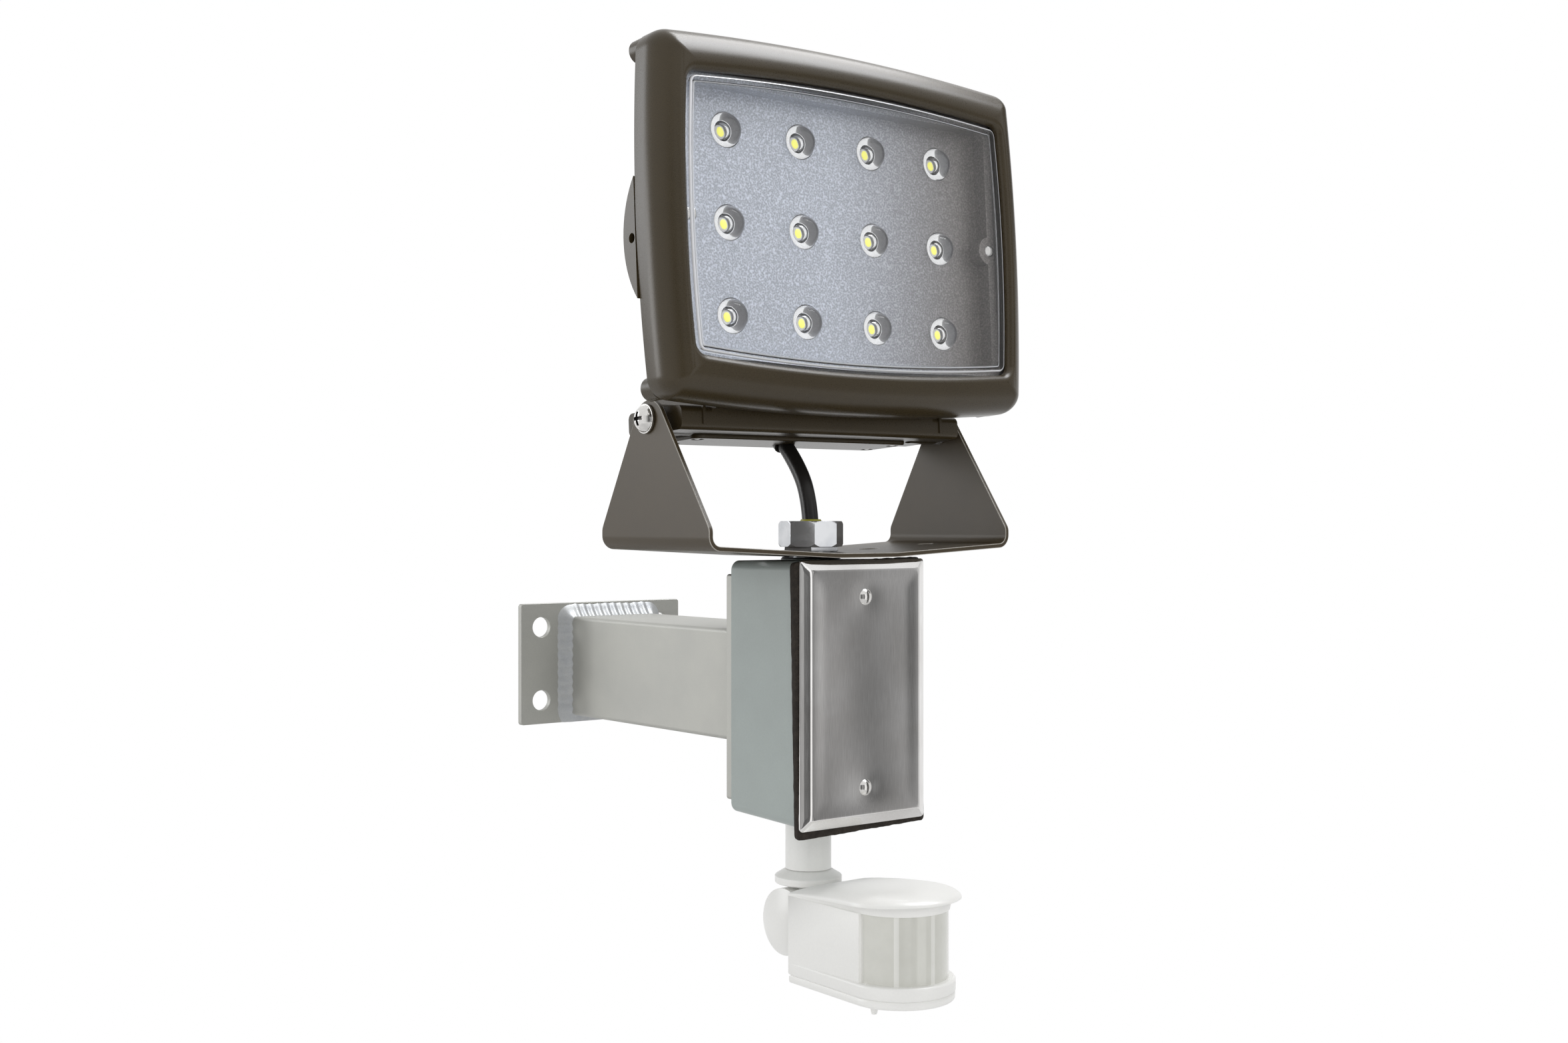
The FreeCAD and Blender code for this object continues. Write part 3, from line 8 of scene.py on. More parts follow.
import json
import logging
import math
from dataclasses import dataclass, field, replace
from enum import Enum
from typing import Callable, Iterable, Mapping, Sequence

import bmesh
import bpy
from mathutils import Euler, Matrix, Vector, noise
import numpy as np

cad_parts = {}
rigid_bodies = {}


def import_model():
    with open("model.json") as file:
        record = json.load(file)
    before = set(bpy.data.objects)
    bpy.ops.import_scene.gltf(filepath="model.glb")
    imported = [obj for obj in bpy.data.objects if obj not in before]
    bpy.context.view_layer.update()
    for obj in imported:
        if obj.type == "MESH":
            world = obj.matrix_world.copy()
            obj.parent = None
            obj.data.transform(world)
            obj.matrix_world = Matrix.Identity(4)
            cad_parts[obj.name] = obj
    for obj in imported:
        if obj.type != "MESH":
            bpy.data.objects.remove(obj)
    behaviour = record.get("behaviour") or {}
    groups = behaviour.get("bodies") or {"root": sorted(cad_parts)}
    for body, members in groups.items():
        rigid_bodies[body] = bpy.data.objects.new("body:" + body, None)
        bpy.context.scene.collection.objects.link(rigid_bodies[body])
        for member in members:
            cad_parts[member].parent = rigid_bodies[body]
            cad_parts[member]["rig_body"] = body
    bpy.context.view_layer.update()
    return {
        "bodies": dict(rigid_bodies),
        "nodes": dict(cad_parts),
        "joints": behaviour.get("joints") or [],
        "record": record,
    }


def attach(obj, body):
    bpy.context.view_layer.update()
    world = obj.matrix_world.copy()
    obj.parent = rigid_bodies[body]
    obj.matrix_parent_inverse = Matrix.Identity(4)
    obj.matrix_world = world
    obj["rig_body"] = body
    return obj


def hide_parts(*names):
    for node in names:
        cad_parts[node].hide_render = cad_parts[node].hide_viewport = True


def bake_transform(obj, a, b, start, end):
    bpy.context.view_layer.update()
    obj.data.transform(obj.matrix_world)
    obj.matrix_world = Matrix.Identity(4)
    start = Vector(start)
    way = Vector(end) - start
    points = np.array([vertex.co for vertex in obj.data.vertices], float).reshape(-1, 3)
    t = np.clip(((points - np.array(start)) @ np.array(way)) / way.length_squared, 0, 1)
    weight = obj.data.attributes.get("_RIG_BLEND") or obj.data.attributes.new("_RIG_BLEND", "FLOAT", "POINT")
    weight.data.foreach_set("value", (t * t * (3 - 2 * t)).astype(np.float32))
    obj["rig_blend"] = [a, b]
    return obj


MM = 0.001
TURN = 2 * math.pi
QUARTER = math.pi / 2
COAT_ROUGHNESS = 0.1
BUMP_GAIN = 2
BUMP_DEPTH = 0.3
WHITE_LIGHT = (1.0, 1.0, 1.0, 1.0)
NO_LIGHT = (0.0, 0.0, 0.0, 1.0)
LOG = logging.getLogger("floodlight")
Point = tuple[float, float, float]
Flat = tuple[float, float]
Tint = tuple[float, float, float]
Ring = list[int]
Feeds = Mapping[str | int, object]


class Grain(Enum):
    """Small texture of a finish: its group's name, how much finer it is along each axis, and its node."""

    SPECKLE = ("fine_speckle", (1.0, 1.0, 1.0), "ShaderNodeTexNoise")
    SCRATCHES = ("upright_scratches", (1.0, 1.0, 0.03), "ShaderNodeTexNoise")
    CELLS = ("small_cells", (1.0, 1.0, 1.0), "ShaderNodeTexVoronoi")


@dataclass(frozen=True)
class Finish:
    """Colours and surface numbers of one finish; colours are linear."""

    name: str
    slot: str
    color: Tint
    second: Tint
    roughness: float = 0.5
    spread: float = 0.05
    metallic: float = 0.0
    grain: Grain = Grain.SPECKLE
    grain_size: float = 0.6
    bump: float = 0.1
    tone: float = 0.08
    patch_size: float = 18.0
    patch_share: float = 0.5
    coat: float = 0.0
    specular: float = 0.5
    transmission: float = 0.0
    ior: float = 1.5
    # Emission strength: a painted glow, for parts that are no lamp.
    glow: float = 0.0
    # Span across, in millimetres, over which painted shade turns the colour into the second one.
    painted_side_shade: Flat | None = None


BRONZE = Finish("bronze_powder_coat", "bronze_cast", (0.043, 0.031, 0.014), (0.034, 0.025, 0.012),
                roughness=0.30, spread=0.04, grain_size=0.40, bump=0.06, patch_share=0.35, specular=0.38)
BRONZE_SHEET = Finish("bronze_powder_coat_sheet", "bronze_steel", (0.050, 0.036, 0.018), (0.040, 0.029, 0.015),
                      roughness=0.40, grain_size=0.5, bump=0.07, patch_share=0.4, specular=0.35)
# Pale colour for the yoke's rounded edges: a painted highlight.
BRONZE_PAINTED_EDGE_HIGHLIGHT = Finish("bronze_painted_edge_highlight", "bronze_steel", (0.40, 0.38, 0.34), (0.20, 0.18, 0.15),
                     roughness=0.30, spread=0.08, grain_size=0.5, bump=0.04)
MILL = Finish("mill_aluminium", "mill_aluminium", (0.42, 0.42, 0.39), (0.375, 0.375, 0.355),
              spread=0.06, metallic=0.40, grain_size=0.5, bump=0.04, tone=0.04, patch_size=26.0)
WELD = Finish("weld_ripples", "weld", (0.42, 0.43, 0.43), (0.34, 0.355, 0.38), roughness=0.42,
              metallic=0.25, grain_size=0.7, bump=0.04, tone=0.05, patch_size=5.0)
ENAMEL = Finish("grey_enamel", "grey_enamel", (0.35, 0.395, 0.38), (0.30, 0.33, 0.32), roughness=0.32,
                spread=0.04, grain_size=0.7, bump=0.03, tone=0.03, patch_size=45.0)
STAINLESS = Finish("brushed_cover", "stainless", (0.76, 0.75, 0.74), (0.58, 0.56, 0.54), roughness=0.07,
                   spread=0.02, metallic=1.0, grain=Grain.SCRATCHES, grain_size=0.20, bump=0.008,
                   patch_size=30.0)
BRIGHT = Finish("bright_screw", "bright_screw", (0.70, 0.69, 0.67), (0.56, 0.55, 0.54), roughness=0.14,
                spread=0.04, metallic=1.0, grain_size=0.5, bump=0.01, tone=0.04, patch_size=5.0)
# Near-black walls and floor of the screws' cross recesses: painted shade.
PAINTED_RECESS_SHADE = Finish("screw_recess_painted_shade", "bright_screw", (0.035, 0.032, 0.030), (0.06, 0.055, 0.05), roughness=0.4,
                spread=0.04, metallic=0.6, grain_size=0.5, bump=0.02, tone=0.05)
ZINC = Finish("zinc_plate", "zinc", (0.70, 0.71, 0.73), (0.50, 0.52, 0.55), roughness=0.12, spread=0.03,
              metallic=0.78, bump=0.006, tone=0.02, patch_size=9.0)
FOAM = Finish("gasket_foam", "foam", (0.020, 0.016, 0.013), (0.045, 0.036, 0.028), roughness=0.85,
              grain=Grain.CELLS, grain_size=0.45, bump=0.6, tone=0.22, patch_size=3.0, specular=0.25)
SEAL = Finish("seal_rubber", "seal_yellow", (0.42, 0.40, 0.04), (0.30, 0.28, 0.04))
RUBBER = Finish("black_rubber", "black_rubber", (0.010, 0.009, 0.008), (0.016, 0.014, 0.013), roughness=0.34,
                spread=0.04, grain_size=0.8, bump=0.03, specular=0.35)
CLEAR = Finish("clear_polycarbonate", "clear_plastic", (0.97, 0.975, 0.98), (0.95, 0.955, 0.96), roughness=0.03,
               spread=0.0, transmission=1.0, ior=1.45, bump=0.004, tone=0.0, grain_size=9.0)
# Opaque pale faces on the lens's step: a painted highlight.
CLEAR_PAINTED_HIGHLIGHT = Finish("clear_step_painted_highlight", "clear_plastic", (0.86, 0.87, 0.90), (0.78, 0.79, 0.83), roughness=0.20,
                    spread=0.03, metallic=0.2, bump=0.01, tone=0.0, grain_size=4.0, coat=0.4)
OPTIC = Finish("clear_optic", "clear_optic", (0.985, 0.985, 0.985), (0.97, 0.97, 0.97), roughness=0.0,
               spread=0.0, transmission=1.0, ior=1.49, bump=0.0, tone=0.0)
# Bright on the left and dark to the right: painted reflection and shade across the tray.
SILVER = Finish("stippled_silver_painted_shade", "silvered_plastic", (0.47, 0.495, 0.55), (0.18, 0.165, 0.155),
                roughness=0.34, spread=0.06, metallic=0.60, grain=Grain.CELLS, grain_size=0.72, bump=0.27,
                tone=0.26, painted_side_shade=(-10.0, 92.0))
# The LEDs are not lit; the glow of these two is painted light.
PHOSPHOR = Finish("yellow_phosphor_painted_glow", "phosphor", (0.86, 0.83, 0.13), (0.80, 0.76, 0.10), glow=0.5)
CERAMIC = Finish("white_ceramic_painted_glow", "board_white", (0.62, 0.62, 0.62), (0.58, 0.58, 0.58), roughness=0.35,
                 glow=0.1)
# A white board coloured mid grey: painted shade under the tray and optics.
BOARD_PAINTED_SHADE = Finish("white_solder_mask_painted_shade", "board_white", (0.12, 0.12, 0.13), (0.10, 0.10, 0.11), roughness=0.4)
BOARD_GREEN = Finish("green_solder_mask", "board_green", (0.02, 0.12, 0.05), (0.03, 0.18, 0.07), roughness=0.3)
POTTED = Finish("potted_block", "driver_black", (0.02, 0.02, 0.02), (0.04, 0.04, 0.04), roughness=0.6)
WHITE = Finish("sensor_white", "sensor_white", (0.87, 0.868, 0.845), (0.855, 0.852, 0.828), roughness=0.34,
               spread=0.02, grain_size=0.9, bump=0.012, tone=0.012, patch_size=30.0, patch_share=0.4)
MILKY = Finish("milky_lens", "lens_milky", (0.66, 0.66, 0.61), (0.60, 0.60, 0.55), roughness=0.12, spread=0.02,
               bump=0.01, tone=0.0, grain_size=3.0, patch_size=9.0, coat=0.6)
MILKY_BAND = replace(MILKY, name="milky_lens_band", color=(0.80, 0.80, 0.76), second=(0.75, 0.75, 0.70))
CAN = Finish("nickel_can", "steel_can", (0.6, 0.6, 0.58), (0.5, 0.5, 0.49), roughness=0.25, metallic=1.0)
CAPS = Finish("orange_caps", "caps_orange", (0.60, 0.12, 0.02), (0.50, 0.09, 0.02), roughness=0.45)


class Net:
    """Node tree with a short way to add nodes and feed their sockets."""

    def __init__(self, tree: bpy.types.NodeTree, emptied: bool = False) -> None:
        """Take over a tree.

        Args:
            tree: The tree.
            emptied: Whether it loses its nodes first.
        """
        self.tree = tree
        if emptied:
            tree.nodes.clear()

    def feed(self, node: bpy.types.Node, feeds: Feeds) -> None:
        """Set a node's inputs or link other sockets to them.

        Args:
            node: Node to feed.
            feeds: Value or output socket for each input, by its name or number.
        """
        for label, source in feeds.items():
            if isinstance(source, bpy.types.NodeSocket):
                self.tree.links.new(source, node.inputs[label])
            else:
                node.inputs[label].default_value = source

    def add(self, kind: str, feeds: Feeds | None = None, **settings: object) -> bpy.types.Node:
        """Add a node and feed it.

        Args:
            kind: Type of the node.
            feeds: What goes into its inputs.
            settings: Its own properties, set before it is fed.

        Returns:
            The node.
        """
        node = self.tree.nodes.new(kind)
        for label, value in settings.items():
            setattr(node, label, value)
        self.feed(node, feeds or {})
        return node


class Group(Net):
    """Shader node group that several finishes share."""

    def __init__(self, name: str, inputs: Mapping[str, object], outputs: Sequence[str]) -> None:
        """Make an empty group with its sockets.

        Args:
            name: Name of the group.
            inputs: Default of each input; four numbers make it a colour.
            outputs: Name of each output; the one called Color is a colour.
        """
        super().__init__(bpy.data.node_groups.new(name, "ShaderNodeTree"))
        kinds = ("NodeSocketFloat", "NodeSocketColor")
        for label, default in inputs.items():
            kind = kinds[isinstance(default, tuple)]
            socket = self.tree.interface.new_socket(label, in_out="INPUT", socket_type=kind)
            socket.default_value = default
        for label in outputs:
            self.tree.interface.new_socket(label, in_out="OUTPUT", socket_type=kinds[label == "Color"])
        self.given = self.tree.nodes.new("NodeGroupInput").outputs
        self.end = self.tree.nodes.new("NodeGroupOutput")

    def place(self, stretch: Point = (1.0, 1.0, 1.0)) -> bpy.types.NodeSocket:
        """Object coordinates in units of the group's Size input.

        Args:
            stretch: How much finer the pattern is along each axis.

        Returns:
            The socket with the scaled coordinates.
        """
        place = self.add("ShaderNodeTexCoord").outputs["Object"]
        kind = "ShaderNodeVectorMath"
        fine = self.add(kind, {0: place, 1: [s / MM for s in stretch]}, operation="MULTIPLY")
        return self.add(kind, {0: fine.outputs[0], 1: self.given["Size"]}, operation="DIVIDE").outputs[0]

    def blend(self, share: bpy.types.NodeSocket) -> None:
        """Give out a colour that is First where the share is 0 and Second where it is 1."""
        ends = {"Factor": share, "A": self.given["First"], "B": self.given["Second"]}
        self.feed(self.end, {"Color": self.add("ShaderNodeMix", ends, data_type="RGBA").outputs["Result"]})


def soft_patches() -> Group:
    """Make the group for broad soft patches that shift one colour towards another.

    Returns:
        The group.
    """
    group = Group("soft_patches", {"First": WHITE_LIGHT, "Second": NO_LIGHT, "Size": 18.0, "Share": 0.5},
                  ["Color"])
    pattern = group.add("ShaderNodeTexNoise",
                        {"Scale": 1.0, "Detail": 3.0, "Roughness": 0.55, "Vector": group.place()})
    spread = group.add("ShaderNodeMapRange",
                       {"From Min": 0.36, "From Max": 0.64, "Value": pattern.outputs["Fac"]})
    amount = group.add("ShaderNodeMath", {0: spread.outputs["Result"], 1: group.given["Share"]},
                       operation="MULTIPLY")
    group.blend(amount.outputs[0])
    return group


def painted_sideways_shade() -> Group:
    """Make the group for painted shade: a slow change from a lit colour to a shaded one across the width.

    Returns:
        The group.
    """
    group = Group("painted_sideways_shade", {"First": WHITE_LIGHT, "Second": NO_LIGHT, "Size": 1.0, "Start": -80.0,
                                     "End": 80.0}, ["Color"])
    split = group.add("ShaderNodeSeparateXYZ", {0: group.place()})
    across = group.add("ShaderNodeMapRange", {"Value": split.outputs["X"], "From Min": group.given["Start"],
                                              "From Max": group.given["End"]}, interpolation_type="SMOOTHSTEP")
    group.blend(across.outputs["Result"])
    return group


def grained(grain: Grain) -> Group:
    """Make the group for a fine texture with a colour, a roughness and a height.

    Args:
        grain: Texture to make.

    Returns:
        The group.
    """
    name, stretch, kind = grain.value
    group = Group(name, {"Color": WHITE_LIGHT, "Size": 0.6, "Depth": 0.12, "Roughness": 0.5, "Spread": 0.05},
                  ["Color", "Roughness", "Height"])
    place = group.place(stretch)
    if kind == "ShaderNodeTexNoise":
        value = group.add(kind, {"Scale": 1.0, "Detail": 2.0, "Vector": place}).outputs["Fac"]
    else:
        value = group.add(kind, {"Scale": 1.0, "Vector": place}, feature="SMOOTH_F1").outputs["Distance"]
    shade = group.add("ShaderNodeMapRange", {"From Min": 0.3, "From Max": 0.7, "To Min": -1.0, "Value": value})
    swing = group.add("ShaderNodeMath", {0: shade.outputs["Result"], 1: group.given["Depth"], 2: 1.0},
                      operation="MULTIPLY_ADD")
    tint = group.add("ShaderNodeVectorMath", {0: group.given["Color"], "Scale": swing.outputs[0]},
                     operation="SCALE")
    rough = group.add("ShaderNodeMath", {0: shade.outputs["Result"], 1: group.given["Spread"],
                                         2: group.given["Roughness"]}, operation="MULTIPLY_ADD")
    group.feed(group.end, {"Color": tint.outputs[0], "Roughness": rough.outputs[0], "Height": value})
    return group


class FinishShop:
    """Makes each finish's material once."""

    def __init__(self) -> None:
        """Make the shared groups, and start with no materials."""
        self.patches = soft_patches()
        self.painted_side_shade = painted_sideways_shade()
        self.grains = {grain: grained(grain) for grain in Grain}
        self.made: dict[str, bpy.types.Material] = {}

    def get(self, finish: Finish) -> bpy.types.Material:
        """Give the material of a finish, made on its first use.

        Args:
            finish: Finish to look up.

        Returns:
            Its material.
        """
        if finish.name not in self.made:
            self.made[finish.name] = self._make(finish)
        return self.made[finish.name]

    def _make(self, finish: Finish) -> bpy.types.Material:
        """Build the nodes of one finish.

        Args:
            finish: Finish to build.

        Returns:
            The new material.
        """
        material = bpy.data.materials.new(finish.name)
        material.use_nodes = True
        net = Net(material.node_tree)
        shader = net.tree.nodes["Principled BSDF"]
        net.feed(shader, {"Metallic": finish.metallic, "Specular IOR Level": finish.specular, "IOR": finish.ior,
                          "Transmission Weight": finish.transmission, "Coat Weight": finish.coat,
                          "Coat Roughness": COAT_ROUGHNESS, "Roughness": finish.roughness})
        first, second = (*finish.color, 1), (*finish.second, 1)
        # Painted glow.
        if finish.glow:
            net.feed(shader, {"Emission Color": first, "Emission Strength": finish.glow})
        # Painted shade across the width in place of random patches.
        if finish.painted_side_shade:
            base, extent = self.painted_side_shade, dict(zip(("Start", "End"), finish.painted_side_shade))
        else:
            base, extent = self.patches, {"Size": finish.patch_size, "Share": finish.patch_share}
        patches = net.add("ShaderNodeGroup", {"First": first, "Second": second} | extent, node_tree=base.tree)
        grain = net.add("ShaderNodeGroup", {"Size": finish.grain_size, "Depth": finish.tone,
                                            "Roughness": finish.roughness, "Spread": finish.spread,
                                            "Color": patches.outputs["Color"]},
                        node_tree=self.grains[finish.grain].tree)
        net.feed(shader, {"Base Color": grain.outputs["Color"]})
        if finish.spread:
            net.feed(shader, {"Roughness": grain.outputs["Roughness"]})
        if finish.bump:
            bump = net.add("ShaderNodeBump", {"Strength": min(1.0, finish.bump * BUMP_GAIN),
                                              "Distance": finish.grain_size * MM * BUMP_DEPTH,
                                              "Height": grain.outputs["Height"]})
            net.feed(shader, {"Normal": bump.outputs["Normal"]})
        return material


def polar(centre: Flat, radius: float, angle: float) -> Flat:
    """Point at a distance and an angle from a centre."""
    return centre[0] + radius * math.cos(angle), centre[1] + radius * math.sin(angle)


def rounded_outline(half_w: float, half_h: float, radius: float, side: int = 16, corner: int = 8) -> list[Flat]:
    """Outline of a rectangle with round corners, anticlockwise from its upper right corner.

    Args:
        half_w: Half its width.
        half_h: Half its height.
        radius: Radius of its corners.
        side: Steps along each side.
        corner: Steps round each corner.

    Returns:
        Its points.
    """
    centres = [(half_w - radius, half_h - radius), (radius - half_w, half_h - radius),
               (radius - half_w, radius - half_h), (half_w - radius, radius - half_h)]
    points: list[Flat] = []
    for turn, centre in enumerate(centres):
        points += [polar(centre, radius, QUARTER * (turn + i / corner)) for i in range(corner + 1)]
        a, b = points[-1], polar(centres[(turn + 1) % 4], radius, QUARTER * (turn + 1))
        points += [(a[0] + (b[0] - a[0]) * i / side, a[1] + (b[1] - a[1]) * i / side) for i in range(1, side)]
    return points


@dataclass(frozen=True)
class Bowed:
    """Rectangle whose four sides bow outwards as arcs and meet in round corners."""

    half_w: float
    half_h: float
    bow_w: float
    bow_h: float

    def outline(self, radius: float, inset: float, side: int, corner: int) -> list[Flat]:
        """Its outline, anticlockwise from the upper right corner.

        Args:
            radius: Radius of its corners.
            inset: How far inside the full size it lies.
            side: Steps along each side.
            corner: Steps round each corner.

        Returns:
            Its points.
        """
        flat_w, flat_h = self.half_w - self.bow_w, self.half_h - self.bow_h
        top_r = (flat_w ** 2 + self.bow_h ** 2) / (2 * self.bow_h) - inset
        side_r = (flat_h ** 2 + self.bow_w ** 2) / (2 * self.bow_w) - inset
        across, down = self.half_w - inset - side_r, self.half_h - inset - top_r
        to_top, to_side = top_r - radius, side_r - radius
        apart = math.hypot(across, down)
        along = (to_top ** 2 - to_side ** 2 + apart ** 2) / (2 * apart)
        off = math.sqrt(to_top ** 2 - along ** 2)
        x = (across * along + down * off) / apart
        z = down - (down * along - across * off) / apart
        if x < 0 or z < 0:
            x = (across * along - down * off) / apart
            z = down - (down * along + across * off) / apart
        top_a, side_a = math.atan2(z - down, x), math.atan2(z, x - across)
        half_turn = math.pi
        arcs = [((x, z), radius, side_a, top_a, corner), ((0, down), top_r, top_a, half_turn - top_a, side),
                ((-x, z), radius, half_turn - top_a, half_turn - side_a, corner),
                ((-across, 0), side_r, half_turn - side_a, half_turn + side_a, side),
                ((-x, -z), radius, half_turn + side_a, half_turn + top_a, corner),
                ((0, -down), top_r, half_turn + top_a, TURN - top_a, side),
                ((x, -z), radius, TURN - top_a, TURN - side_a, corner),
                ((across, 0), side_r, -side_a, side_a, side)]
        points: list[Flat] = []
        for i, (centre, r, start, end, steps) in enumerate(arcs):
            inner = range(steps + 1) if i % 2 == 0 else range(1, steps)
            points += [polar(centre, r, start + (end - start) * k / steps) for k in inner]
        return points


class Shape:
    """Mesh under construction: corners in a sub-assembly's own millimetres, faces with a finish number."""

    def __init__(self) -> None:
        """Start empty."""
        self.points: list[Point] = []
        self.faces: list[tuple[int, ...]] = []
        self.marks: list[int] = []

    def ring(self, points: Iterable[Point]) -> Ring:
        """Add corners.

        Args:
            points: Where they lie.

        Returns:
            Their numbers.
        """
        start = len(self.points)
        self.points.extend(points)
        return list(range(start, len(self.points)))

    def face(self, corners: Sequence[int], mark: int = 0) -> None:
        """Add one face."""
        self.faces.append(tuple(corners))
        self.marks.append(mark)

    def skin(self, rings: Sequence[Ring], mark: int = 0, closed: bool = True, looped: bool = False) -> None:
        """Join rings of equal length with four-sided faces.

        Args:
            rings: Corner numbers of each ring.
            mark: Finish number of the faces.
            closed: Whether each ring closes on itself.
            looped: Whether the last ring joins the first.
        """
        count = len(rings[0])
        pairs = list(zip(rings, rings[1:]))
        if looped:
            pairs.append((rings[-1], rings[0]))
        for low, high in pairs:
            for i in range(count if closed else count - 1):
                j = (i + 1) % count
                self.face((low[i], low[j], high[j], high[i]), mark)

    def cap(self, ring: Ring, middle: Point, mark: int = 0) -> None:
        """Close a ring with a fan.

        Args:
            ring: Corner numbers of the ring.
            middle: Point that the fan meets in.
            mark: Finish number of the faces.
        """
        centre = self.ring([middle])[0]
        for i in range(len(ring)):
            self.face((ring[i], ring[(i + 1) % len(ring)], centre), mark)

    def turned(self, profile: Sequence[Flat], base: Point, steps: int, mark: int = 0) -> None:
        """Add a solid turned about an axis that points to the front.

        Args:
            profile: Points of (radius, distance along the axis), from one tip to the other.
            base: Where the axis starts.
            steps: Steps round.
            mark: Finish number.
        """
        rings: list[Ring] = []
        tips: list[Point] = []
        for r, h in profile:
            y = base[1] - h
            if r == 0:
                tips.append((base[0], y, base[2]))
                continue
            around = [polar((base[0], base[2]), r, TURN * i / steps) for i in range(steps)]
            rings.append(self.ring([(x, y, z) for x, z in around]))
        self.skin(rings, mark)
        self.cap(rings[0], tips[0], mark)
        self.cap(rings[-1], tips[1], mark)

    def mesh(self, name: str, place: Matrix, sharp: float) -> bpy.types.Mesh:
        """Turn the shape into a mesh with outward faces.

        Args:
            name: Name of the mesh.
            place: Where its millimetres lie.
            sharp: Angle in degrees above which an edge stays sharp.

        Returns:
            The new mesh.
        """
        mesh = bpy.data.meshes.new(name)
        mesh.from_pydata([place @ Vector(p) for p in self.points], [], self.faces)
        for polygon, mark in zip(mesh.polygons, self.marks):
            polygon.material_index = mark
            polygon.use_smooth = True
        grown = bmesh.new()
        grown.from_mesh(mesh)
        bmesh.ops.remove_doubles(grown, verts=grown.verts, dist=1e-6)
        bmesh.ops.recalc_face_normals(grown, faces=grown.faces)
        grown.to_mesh(mesh)
        grown.free()
        mesh.set_sharp_from_angle(angle=math.radians(sharp))
        return mesh


def put_in_scene(name: str, data: bpy.types.ID) -> bpy.types.Object:
    """Make an object of some data and link it to the scene.

    Args:
        name: Name of the object.
        data: Mesh, curve, camera or light.

    Returns:
        The object.
    """
    thing = bpy.data.objects.new(name, data)
    bpy.context.scene.collection.objects.link(thing)
    return thing


